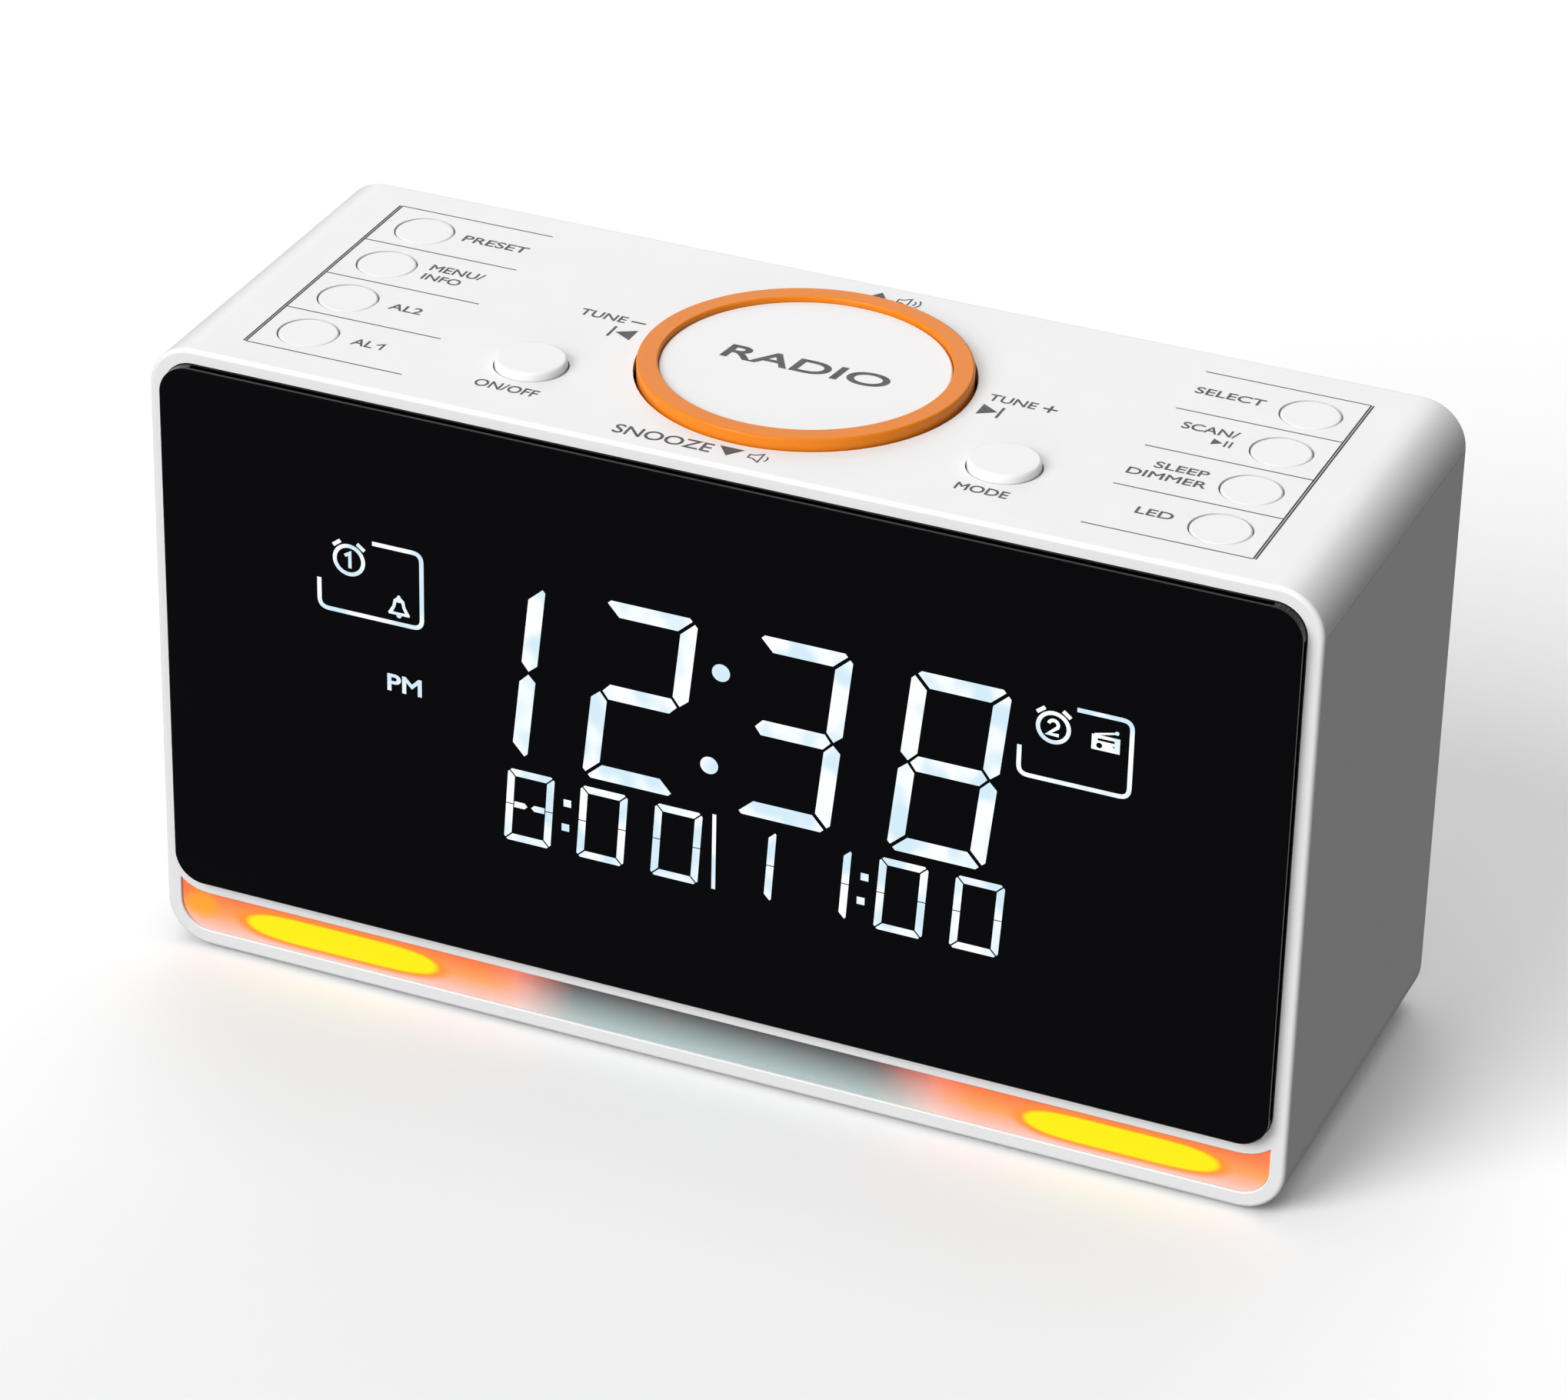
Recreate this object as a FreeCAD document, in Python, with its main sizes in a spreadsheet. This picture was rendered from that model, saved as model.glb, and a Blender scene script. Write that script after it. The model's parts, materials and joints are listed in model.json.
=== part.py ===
"""Mains clock radio: a white box with a mirror display, a light bar and a tilting top dial.

Millimetres, +Z up, the front faces -Y, +X is the right-hand side seen from the front.
The origin is on the table, under the middle of the radio.
Every driving size is a cell of the sheet "sizes", and the features are bound to those cells.
"""
import FreeCAD, Part
import math
import os
from types import SimpleNamespace

import Sketcher
from FreeCAD import Placement, Rotation, Vector

DRIVING_SIZES = dict(
    # casing
    case_width=180, case_height=101.3, case_depth=63.5, foot_lift=0.5, corner_radius=7,
    wall=2.2, rim=1.6, edge_round=0.7, back_rim=1.2, back_round=0.8,
    shell_gap=0.2, skirt=1.4, skirt_depth=3.4, slab=1.0, parting_drop=7, parting_gap=0.3,
    # display window and light bar
    lens_proud=1.9, lens_width=175, lens_height=87.1, lens_below_top=2.3, lens_radius=4.7,
    lens_gap=0.15, lens_sheet=0.6, lens_bevel=0.25, tray_wall=1.1, tray_floor=1.4, tray_recess=1.2,
    window_width=160, window_height=74, bar_margin=2.5, bar_lip=2.7, bar_recess=0.4,
    bar_thick=1.2, bar_radius=4.5, strip=2.75, bar_gap=0.1,
    # keys
    key_x=70.3, key_front=12.4, key_pitch=12.7, key_radius=4.4, key_hole=4.65,
    knob_x=36.6, knob_front=16.8, knob_radius=5.3, knob_hole=5.55, knob_height=1.3, knob_round=0.5,
    key_collar=1.3, collar_depth=6.2, key_flange=0.8, stem_radius=1.5,
    switch_drop=9, switch_size=6, switch_height=3.4, plunger_radius=1.75, plunger_out=1.0,
    plunger_gap=0.1, plunger_in=1.5,
    # dial
    dial_front=31.75, dial_radius=24.4, dial_hole=24.9, dial_inner=21.3, dial_height=1.8,
    dial_skirt=5.0, dial_round=0.4, disc_height=1.0, disc_thick=2.0, pivot_drop=10,
    gimbal_inner=9, gimbal_outer=12, gimbal_thick=3, pin_radius=1.0, pin_gap=0.05,
    # boards and screws
    board_thick=1.6, screw_radius=1.3, screw_length=8, head_radius=2.6, head_height=1.4,
    boss_radius=3, post_height=5,
    # speaker, on the back
    speaker_x=-46, speaker_up=52, speaker_seat=3, flange_radius=27, cone_radius=19,
    basket_radius=21, magnet_radius=13,
    # power and battery, on the back
    jack_x=66, usb_x=46, hatch_x=48, hatch_up=60, hatch_side=32, hatch_thick=1.4, cell_radius=10,
)


class Size:
    """A length that carries its number and the sheet expression that drives it."""

    def __init__(self, value, text):
        self.value = float(value)
        self.text = text

    def __add__(self, other):
        other = as_size(other)
        return Size(self.value + other.value, f"({self.text} + {other.text})")

    def __sub__(self, other):
        other = as_size(other)
        return Size(self.value - other.value, f"({self.text} - {other.text})")

    def __mul__(self, other):
        other = as_size(other)
        return Size(self.value * other.value, f"({self.text} * {other.text})")

    def __truediv__(self, other):
        other = as_size(other)
        return Size(self.value / other.value, f"({self.text} / {other.text})")

    def __rsub__(self, other):
        return as_size(other) - self

    def __neg__(self):
        return as_size(-1) * self

    __radd__ = __add__
    __rmul__ = __mul__


def as_size(value):
    return value if isinstance(value, Size) else Size(value, f"({float(value)!r})")


doc = FreeCAD.newDocument("clock_radio")
sheet = doc.addObject("Spreadsheet::Sheet", "sizes")
for row, (alias, number) in enumerate(DRIVING_SIZES.items(), start=1):
    sheet.set(f"A{row}", alias)
    sheet.set(f"B{row}", str(number))
    sheet.setAlias(f"B{row}", alias)
doc.recompute()
d = SimpleNamespace(**{alias: Size(number, f"sizes.{alias}") for alias, number in DRIVING_SIZES.items()})

# Planes and centres that many pieces share
front = d.lens_proud - (d.case_depth + d.lens_proud) / 2
back = (d.case_depth + d.lens_proud) / 2
bottom = d.foot_lift
top = d.foot_lift + d.case_height
case_mid = (bottom + top) / 2
inset = d.wall + d.shell_gap
lens_up = top - d.lens_below_top - d.lens_height / 2
lens_bottom = lens_up - d.lens_height / 2
dial_y = front + d.dial_front
pivot_up = top - d.pivot_drop
board_top = top - d.switch_drop - d.plunger_out - d.switch_height
floor_up = bottom + d.wall
main_board_up = floor_up + d.post_height
slab_front = front + d.rim + d.slab
slab_back = back - d.back_rim - d.slab

NORMAL = {"XY": 1, "XZ": -1, "YZ": 1}
nodes = {}


def link(item, path, size):
    item.setExpression(path, as_size(size).text)


def place(item, x=0, y=0, z=0, rotation=None):
    """Put a sub-part where it belongs, with its position bound to the sheet."""
    item.Placement = Placement(Vector(), rotation or Rotation())
    for axis, size in zip("xyz", (x, y, z)):
        link(item, f"Placement.Base.{axis}", size)
    return item


def keep(name, item):
    """Name a finished sub-part: its label is the name of its file."""
    item.Label = name
    nodes[name] = item
    return item


# ---------------------------------------------------------------- sketches and solid features

class Profile:
    """The closed outlines of one sketch, every point bound to the sheet."""

    def __init__(self, sketch):
        self.sketch = sketch

    def bind(self, kind, *where, size):
        index = self.sketch.addConstraint(Sketcher.Constraint(kind, *where, as_size(size).value))
        self.sketch.setExpression(f"Constraints[{index}]", as_size(size).text)

    def pin(self, edge, end, x, y):
        self.bind("DistanceX", -1, 1, edge, end, size=x)
        self.bind("DistanceY", -1, 1, edge, end, size=y)

    def circle(self, x, y, radius):
        x, y, radius = as_size(x), as_size(y), as_size(radius)
        shape = Part.Circle(Vector(x.value, y.value, 0), Vector(0, 0, 1), radius.value)
        edge = self.sketch.addGeometry(shape, False)
        self.pin(edge, 3, x, y)
        self.bind("Radius", edge, size=radius)

    def outline(self, *corners):
        """Each corner is (x, y), or (x, y, radius, turn) where an arc leaves it (turn +1 is left)."""
        points = [(as_size(corner[0]), as_size(corner[1])) for corner in corners]
        ends = []
        for number, corner in enumerate(corners):
            here = Vector(points[number][0].value, points[number][1].value, 0)
            after = points[(number + 1) % len(points)]
            there = Vector(after[0].value, after[1].value, 0)
            if len(corner) == 2:
                edge = self.sketch.addGeometry(Part.LineSegment(here, there), False)
                ends.append((edge, 1, 2))
                continue
            radius, turn = as_size(corner[2]), corner[3]
            middle = (here + there) / 2
            chord = there - here
            rise = math.sqrt(max(radius.value ** 2 - (chord.Length / 2) ** 2, 0))
            centre = middle + Vector(-chord.y, chord.x, 0).normalize() * rise * turn
            first, last = (here, there) if turn > 0 else (there, here)
            angles = [math.atan2(p.y - centre.y, p.x - centre.x) for p in (first, last)]
            circle = Part.Circle(centre, Vector(0, 0, 1), radius.value)
            edge = self.sketch.addGeometry(Part.ArcOfCircle(circle, *angles), False)
            ends.append((edge, 1, 2) if turn > 0 else (edge, 2, 1))
        for number, (edge, start, end) in enumerate(ends):
            following, its_start, _ = ends[(number + 1) % len(ends)]
            self.sketch.addConstraint(Sketcher.Constraint("Coincident", edge, end, following, its_start))
            self.pin(edge, start, *points[number])
            if len(corners[number]) == 4:
                self.bind("Radius", edge, size=corners[number][2])

    def rectangle(self, x, y, width, height, radius=0):
        """A rectangle about (x, y), with rounded corners where a radius is given."""
        left, right = as_size(x) - width / 2, as_size(x) + width / 2
        low, high = as_size(y) - height / 2, as_size(y) + height / 2
        if as_size(radius).value == 0:
            self.outline((left, low), (right, low), (right, high), (left, high))
            return
        self.outline(
            (left + radius, low), (right - radius, low, radius, 1),
            (right, low + radius), (right, high - radius, radius, 1),
            (right - radius, high), (left + radius, high, radius, 1),
            (left, high - radius), (left, low + radius, radius, 1))


def new_body(name):
    return keep(name, doc.addObject("PartDesign::Body", name))


def sketch_on(body, plane, level, draw):
    sketch = body.newObject("Sketcher::SketchObject", f"{body.Name}_sketch")
    origin_plane = next(f for f in body.Origin.OriginFeatures if f.Role == f"{plane}_Plane")
    sketch.AttachmentSupport = [(origin_plane, "")]
    sketch.MapMode = "FlatFace"
    link(sketch, "AttachmentOffset.Base.z", NORMAL[plane] * as_size(level))
    draw(Profile(sketch))
    sketch.Visibility = False
    return sketch


def extrude(kind, body, plane, start, end, draw):
    """Pad or pocket from start to end, both measured along the plane's own axis of the model."""
    feature = body.newObject(f"PartDesign::{kind}", f"{body.Name}_{kind.lower()}")
    feature.Profile = sketch_on(body, plane, start, draw)
    link(feature, "Length", as_size(end) - start)
    feature.Reversed = (NORMAL[plane] < 0) == (kind == "Pad")
    return feature


def pad(body, plane, start, end, draw):
    return extrude("Pad", body, plane, start, end, draw)


def pocket(body, plane, start, end, draw):
    return extrude("Pocket", body, plane, start, end, draw)


def revolve(body, draw, kind="Revolution"):
    """Turn a profile, drawn as radius and height, about the body's own Z axis."""
    feature = body.newObject(f"PartDesign::{kind}", f"{body.Name}_{kind.lower()}")
    feature.Profile = sketch_on(body, "XZ", 0, draw)
    feature.ReferenceAxis = (feature.Profile[0], ["V_Axis"])
    feature.Angle = 360
    return feature


def points_along(edge, steps=4):
    first, last = edge.FirstParameter, edge.LastParameter
    return [edge.valueAt(first + (last - first) * step / steps) for step in range(steps + 1)]


def round_edges(body, radius, chosen, kind="Fillet"):
    """Fillet or chamfer the edges of the body whose every point passes the test."""
    doc.recompute()
    base = body.Tip
    names = [f"Edge{number}" for number, edge in enumerate(base.Shape.Edges, start=1)
             if all(chosen(point) for point in points_along(edge))]
    feature = body.newObject(f"PartDesign::{kind}", f"{body.Name}_{kind.lower()}")
    feature.Base = (base, names)
    link(feature, "Radius" if kind == "Fillet" else "Size", radius)
    return feature


def near(value, size, reach=0.01):
    return abs(value - as_size(size).value) < reach


# ---------------------------------------------------------------- primitives and booleans

def box(name, low, size):
    item = doc.addObject("Part::Box", name)
    for side, length in zip(("Length", "Width", "Height"), size):
        link(item, side, length)
    return place(item, *low)


UPRIGHT = Rotation()
BACKWARD = Rotation(Vector(1, 0, 0), -90)
RIGHTWARD = Rotation(Vector(0, 1, 0), 90)


def rod(name, start, radius, length, rotation=UPRIGHT):
    item = doc.addObject("Part::Cylinder", name)
    link(item, "Radius", radius)
    link(item, "Height", length)
    return place(item, *start, rotation=rotation)


def join(name, *items):
    item = doc.addObject("Part::MultiFuse", name)
    item.Shapes = list(items)
    return item


def subtract(name, base, tool):
    item = doc.addObject("Part::Cut", name)
    item.Base = base
    item.Tool = tool
    return item


def group(name, items):
    item = doc.addObject("Part::Compound", name)
    item.Links = list(items)
    return keep(name, item)


def screw(name, x, y, z, rotation, length=d.screw_length, shank=d.screw_radius, head=d.head_radius):
    """A pan-head screw with a cross slot, whose head sits on (x, y, z) and shank runs along local +Z."""
    blade = 0.8
    depth = 0.9
    body = join(f"{name}_turned",
                rod(f"{name}_shank", (0, 0, -0.2), shank, length + 0.2),
                rod(f"{name}_head", (0, 0, -d.head_height), head, d.head_height))
    cross = join(f"{name}_cross",
                 box(f"{name}_slot", (-head * 0.6, -blade / 2, -d.head_height), (head * 1.2, blade, depth)),
                 box(f"{name}_slit", (-blade / 2, -head * 0.6, -d.head_height), (blade, head * 1.2, depth)))
    return place(subtract(name, body, cross), x, y, z, rotation=rotation)


# ---------------------------------------------------------------- casing

def case_outline(profile, inward=0):
    profile.rectangle(0, case_mid, d.case_width - 2 * as_size(inward), d.case_height - 2 * as_size(inward),
                      d.corner_radius - inward)


def case_ring(profile, outer, inner):
    case_outline(profile, outer)
    case_outline(profile, inner)


def bar_outline(profile, grow=0):
    """The light bar: it follows the lens corners above, in two horns, and the case corners below."""
    side = d.case_width / 2 - d.bar_margin + grow
    low = bottom + d.bar_lip - grow
    high = lens_bottom - d.strip + grow
    turn = d.lens_radius + d.strip - grow
    arc_x = d.lens_width / 2 - d.lens_radius
    run = (side - arc_x).value
    rise = math.sqrt(turn.value ** 2 - run ** 2)
    tip = lens_bottom + d.lens_radius - rise
    radius = d.bar_radius + grow
    profile.outline(
        (radius - side, low), (side - radius, low, radius, 1),
        (side, low + radius), (side, tip, turn, -1),
        (arc_x, high), (-arc_x, high, turn, -1),
        (-side, tip), (-side, low + radius, radius, 1))


BEZEL_SCREWS = [(side * 83.6, height) for side in (-1, 1) for height in (25, 86)]
BACK_SCREWS = [(side * 79, height) for side in (-1, 1) for height in (14, 78)]
COVER_SCREWS = [(side * 83.6, y) for side in (-1, 1) for y in (-8, 18)]
KEY_BOARD_SCREWS = [(side * 54, y) for side in (-1, 1) for y in (-16, 23)]
MAIN_BOARD_SCREWS = [(x, y) for x in (-68, 76) for y in (-11, 12)]
BEZEL_BOSS = 9
EAR = 3
COVER_BOSS = 13
# the ears, ribs and shelves of the side walls reach in to this X
EAR_INSIDE = 79


def make_front_bezel():
    body = new_body("front_bezel")
    pad(body, "XZ", front, front + d.rim, case_outline)
    round_edges(body, d.edge_round, lambda p: near(p.y, front))
    pad(body, "XZ", front + d.rim, slab_front, lambda s: case_outline(s, inset))
    pad(body, "XZ", slab_front, slab_front + d.skirt_depth, lambda s: case_ring(s, inset, inset + d.skirt))
    for x, z in BEZEL_SCREWS:
        pad(body, "XZ", slab_front, front + BEZEL_BOSS, lambda s: s.circle(x, z, d.boss_radius))
    pocket(body, "XZ", front, front + d.tray_recess, lambda s: s.rectangle(
        0, lens_up, d.lens_width + 2 * d.lens_gap, d.lens_height + 2 * d.lens_gap, d.lens_radius + d.lens_gap))
    pocket(body, "XZ", front, slab_front + d.skirt_depth, lambda s: s.rectangle(
        0, lens_up, d.window_width, d.window_height, 3))
    pocket(body, "XZ", front, slab_front, lambda s: bar_outline(s, d.bar_gap))
    # the skirt opens behind the light bar, so that it throws no shadow on it
    pocket(body, "XZ", slab_front, slab_front + d.skirt_depth, lambda s: s.rectangle(
        0, bottom + 5, d.case_width - 16, 10))
    for x, z in BEZEL_SCREWS:
        pocket(body, "XZ", front + 3.6, front + BEZEL_BOSS, lambda s: s.circle(x, z, d.screw_radius))
    # the edges of the light bar window are softened, all but the horns' curved flanks
    lowest = (bottom + d.bar_lip - d.bar_gap).value - 0.01
    highest = (lens_bottom - d.strip + d.bar_gap).value + 0.01
    round_edges(body, 0.2, lambda p: near(p.y, front) and lowest < p.z < highest)


def make_main_housing():
    body = new_body("main_housing")
    seam = top - d.parting_drop - d.parting_gap
    start, end = front + d.rim, back - d.back_rim
    pad(body, "XZ", start, end, lambda s: case_ring(s, 0, d.wall))
    pocket(body, "XZ", start, end, lambda s: s.rectangle(0, seam + 10, d.case_width + 2, 20))
    inner = d.case_width / 2 - d.wall + 0.2
    # ears that the bezel screws pass through
    for x, z in BEZEL_SCREWS:
        middle = (inner + EAR_INSIDE) / 2 * math.copysign(1, x)
        pad(body, "XZ", front + BEZEL_BOSS, front + BEZEL_BOSS + EAR, lambda s: s.rectangle(
            middle, z, inner - EAR_INSIDE, 9))
    # posts for the back cover screws, each tied to the wall by a rib
    for x, z in BACK_SCREWS:
        middle = (inner + EAR_INSIDE) / 2 * math.copysign(1, x)
        pad(body, "XZ", slab_back - 13, slab_back, lambda s: s.circle(x, z, d.boss_radius + 0.5))
        pad(body, "XZ", slab_back - 13, slab_back - d.skirt_depth - 0.2,
            lambda s: s.rectangle(middle, z, inner - EAR_INSIDE, 3))
    # shelves that the top cover is screwed to from below
    for x, y in COVER_SCREWS:
        middle = (inner + EAR_INSIDE) / 2 * math.copysign(1, x)
        pad(body, "XY", top - COVER_BOSS - EAR, top - COVER_BOSS, lambda s: s.rectangle(
            middle, y, inner - EAR_INSIDE, 9))
    # standoffs of the main board and two stops behind the light bar board
    for x, y in MAIN_BOARD_SCREWS:
        pad(body, "XY", floor_up - 0.2, main_board_up, lambda s: s.circle(x, y, d.boss_radius))
    for x in (-58, 58):
        pad(body, "XY", floor_up - 0.2, floor_up + 6, lambda s: s.rectangle(x, front + 9.7, 8, 2))
    clearance = d.screw_radius + 0.2
    for x, z in BEZEL_SCREWS:
        pocket(body, "XZ", front + BEZEL_BOSS, front + BEZEL_BOSS + EAR, lambda s: s.circle(x, z, clearance))
    for x, z in BACK_SCREWS:
        pocket(body, "XZ", slab_back - 10, slab_back, lambda s: s.circle(x, z, d.screw_radius))
    for x, y in COVER_SCREWS:
        pocket(body, "XY", top - COVER_BOSS - EAR, top - COVER_BOSS, lambda s: s.circle(x, y, clearance))
    for x, y in MAIN_BOARD_SCREWS:
        pocket(body, "XY", main_board_up - 6.4, main_board_up, lambda s: s.circle(x, y, d.screw_radius))
    for x, y in FEET:
        pocket(body, "XY", bottom, bottom + 0.6, lambda s: s.circle(x, y, FOOT_RADIUS + 0.1))


FOOT_RADIUS = 6
FEET = [(side * 72, y) for side in (-1, 1) for y in (-19, 22)]


def make_rubber_feet():
    feet = []
    for number, (x, y) in enumerate(FEET):
        disc = rod(f"foot_disc_{number}", (x, y, 0.3), FOOT_RADIUS, d.foot_lift + 0.3)
        sole = doc.addObject("Part::Cone", f"foot_sole_{number}")
        link(sole, "Radius1", FOOT_RADIUS - 0.3)
        link(sole, "Radius2", FOOT_RADIUS)
        link(sole, "Height", 0.3)
        place(sole, x, y, 0)
        feet.append(join(f"foot_{number}", disc, sole))
    group("rubber_feet", feet)


def key_places():
    """Every key: its name, its centre, its radius, the radius of its hole and how far it stands out."""
    columns = ((-1, ("preset", "menu", "alarm_two", "alarm_one")), (1, ("select", "scan", "sleep", "led")))
    for side, names in columns:
        for number, name in enumerate(names):
            y = front + d.key_front + (3 - number) * d.key_pitch
            yield name, side * d.key_x, y, d.key_radius, d.key_hole, as_size(0)
    for side, name in ((-1, "power"), (1, "mode")):
        yield name, side * d.knob_x, front + d.knob_front, d.knob_radius, d.knob_hole, d.knob_height


def make_top_cover():
    body = new_body("top_cover")
    start, end = front + d.rim, back - d.back_rim
    pad(body, "XZ", start, end, lambda s: case_ring(s, 0, d.wall))
    seam = top - d.parting_drop
    pocket(body, "XZ", start, end, lambda s: s.rectangle(0, seam - 60, d.case_width + 2, 120))
    # tongues that slip inside the housing's side walls
    tongue_x = d.case_width / 2 - inset - d.skirt / 2
    for side in (-1, 1):
        pad(body, "XZ", slab_front + d.skirt_depth + 0.6, slab_back - d.skirt_depth - 0.6,
            lambda s: s.rectangle(side * tongue_x, seam + 0.4, d.skirt, 6.8))
        pad(body, "XZ", slab_front + d.skirt_depth + 0.6, slab_back - d.skirt_depth - 0.6,
            lambda s: s.rectangle(side * (tongue_x + 0.6), seam + 2, d.skirt + 0.6, 3))
    under = top - d.wall
    for x, y in COVER_SCREWS:
        pad(body, "XY", top - COVER_BOSS, under + 0.2, lambda s: s.circle(x, y, d.boss_radius))
    for x, y in KEY_BOARD_SCREWS:
        pad(body, "XY", board_top, under + 0.2, lambda s: s.circle(x, y, d.boss_radius))
    for _, x, y, _, hole, _ in key_places():
        pad(body, "XY", top - d.collar_depth, under + 0.2, lambda s: s.circle(x, y, hole + d.key_collar))
    for _, x, y, _, hole, _ in key_places():
        pocket(body, "XY", top - d.collar_depth, top, lambda s: s.circle(x, y, hole))
    pocket(body, "XY", under, top, lambda s: s.circle(0, dial_y, d.dial_hole))
    for x, y in COVER_SCREWS:
        pocket(body, "XY", top - COVER_BOSS, top - COVER_BOSS + 6, lambda s: s.circle(x, y, d.screw_radius))
    for x, y in KEY_BOARD_SCREWS:
        pocket(body, "XY", board_top, board_top + 7, lambda s: s.circle(x, y, d.screw_radius))


GRILLE_PITCH = 4
GRILLE_SLOT = 2
GRILLE_RADIUS = 18


def grille_slots(profile):
    """Horizontal slots, each as long as the round grille is wide at its height."""
    for number in range(-4, 5):
        offset = number * GRILLE_PITCH
        length = 2 * math.sqrt(GRILLE_RADIUS ** 2 - offset ** 2) + GRILLE_SLOT
        profile.rectangle(d.speaker_x, d.speaker_up + offset, as_size(length), as_size(GRILLE_SLOT), as_size(0.9))


def make_rear_cover():
    body = new_body("rear_cover")
    pad(body, "XZ", back - d.back_rim, back, case_outline)
    round_edges(body, d.back_round, lambda p: near(p.y, back))
    pad(body, "XZ", slab_back, back - d.back_rim, lambda s: case_outline(s, inset))
    pad(body, "XZ", slab_back - d.skirt_depth, slab_back, lambda s: case_ring(s, inset, inset + d.skirt))
    # seat ring of the loudspeaker
    pad(body, "XZ", slab_back - d.speaker_seat, slab_back,
        lambda s: (s.circle(d.speaker_x, d.speaker_up, d.flange_radius),
                   s.circle(d.speaker_x, d.speaker_up, d.basket_radius)))
    pocket(body, "XZ", slab_back, back, grille_slots)
    for x, z in BACK_SCREWS:
        pocket(body, "XZ", slab_back - 1, back, lambda s: s.circle(x, z, d.screw_radius + 0.2))
        pocket(body, "XZ", back - 1.4, back, lambda s: s.circle(x, z, d.head_radius + 0.4))
    for x, z in speaker_screw_places():
        pocket(body, "XZ", slab_back - d.speaker_seat, slab_back, lambda s: s.circle(x, z, SPEAKER_SHANK))
    pocket(body, "XZ", slab_back, back, lambda s: s.circle(d.jack_x, JACK_UP, 4.2))
    pocket(body, "XZ", slab_back, back, lambda s: s.rectangle(
        d.usb_x, USB_UP, as_size(14), as_size(6.6), as_size(0.6)))
    # battery hatch: an opening with a ledge all round
    pocket(body, "XZ", slab_back, back, lambda s: s.rectangle(
        d.hatch_x, d.hatch_up, d.hatch_side - 6, d.hatch_side - 6, as_size(2)))
    pocket(body, "XZ", back - d.hatch_thick - 0.1, back, lambda s: s.rectangle(
        d.hatch_x, d.hatch_up, d.hatch_side + 0.6, d.hatch_side + 0.6, as_size(2.3)))
    # vents over the boards
    pocket(body, "XZ", slab_back, back, lambda s: [s.rectangle(
        12, 30 + 4 * number, as_size(22), as_size(1.6), as_size(0.7)) for number in range(6)])


SPEAKER_SHANK = 1.0
JACK_UP = main_board_up + d.board_thick + 5.5
USB_UP = main_board_up + d.board_thick + 3.1


def speaker_screw_places():
    reach = (d.flange_radius - 2.4) * math.cos(math.radians(45))
    return [(d.speaker_x + side * reach, d.speaker_up + rise * reach) for side in (-1, 1) for rise in (-1, 1)]


def make_battery_hatch():
    body = new_body("battery_door")
    pad(body, "XZ", back - d.hatch_thick, back, lambda s: s.rectangle(
        d.hatch_x, d.hatch_up, d.hatch_side, d.hatch_side, as_size(2)))
    # finger grip: three shallow grooves
    pocket(body, "XZ", back - 0.5, back, lambda s: [s.rectangle(
        d.hatch_x, d.hatch_up + 6 + 2.4 * number, as_size(14), as_size(1.2), as_size(0.5))
        for number in range(3)])

    holder = new_body("cell_holder")
    side = d.hatch_side - 2
    pad(holder, "XZ", slab_back - 5.4, slab_back, lambda s: s.rectangle(
        d.hatch_x, d.hatch_up, side, side, as_size(2)))
    pocket(holder, "XZ", slab_back - 4.2, slab_back, lambda s: s.circle(d.hatch_x, d.hatch_up, d.cell_radius + 0.3))
    # a finger notch beside the cell
    pocket(holder, "XZ", slab_back - 4.2, slab_back, lambda s: s.rectangle(
        d.hatch_x, d.hatch_up - d.cell_radius, as_size(8), as_size(5), as_size(1)))

    cell = new_body("coin_cell")
    can, lid = 2.4, 3.2
    revolve(cell, lambda s: s.outline(
        (0, 0), (d.cell_radius, 0), (d.cell_radius, can - 0.3), (d.cell_radius - 0.3, can),
        (d.cell_radius - 1.2, can), (d.cell_radius - 1.2, lid), (0, lid)))
    place(cell, d.hatch_x, slab_back - 4.1, d.hatch_up, rotation=BACKWARD)


# ---------------------------------------------------------------- display and light bar

def lens_outline(profile, inward=0):
    profile.rectangle(0, lens_up, d.lens_width - 2 * as_size(inward), d.lens_height - 2 * as_size(inward),
                      d.lens_radius - inward)


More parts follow.
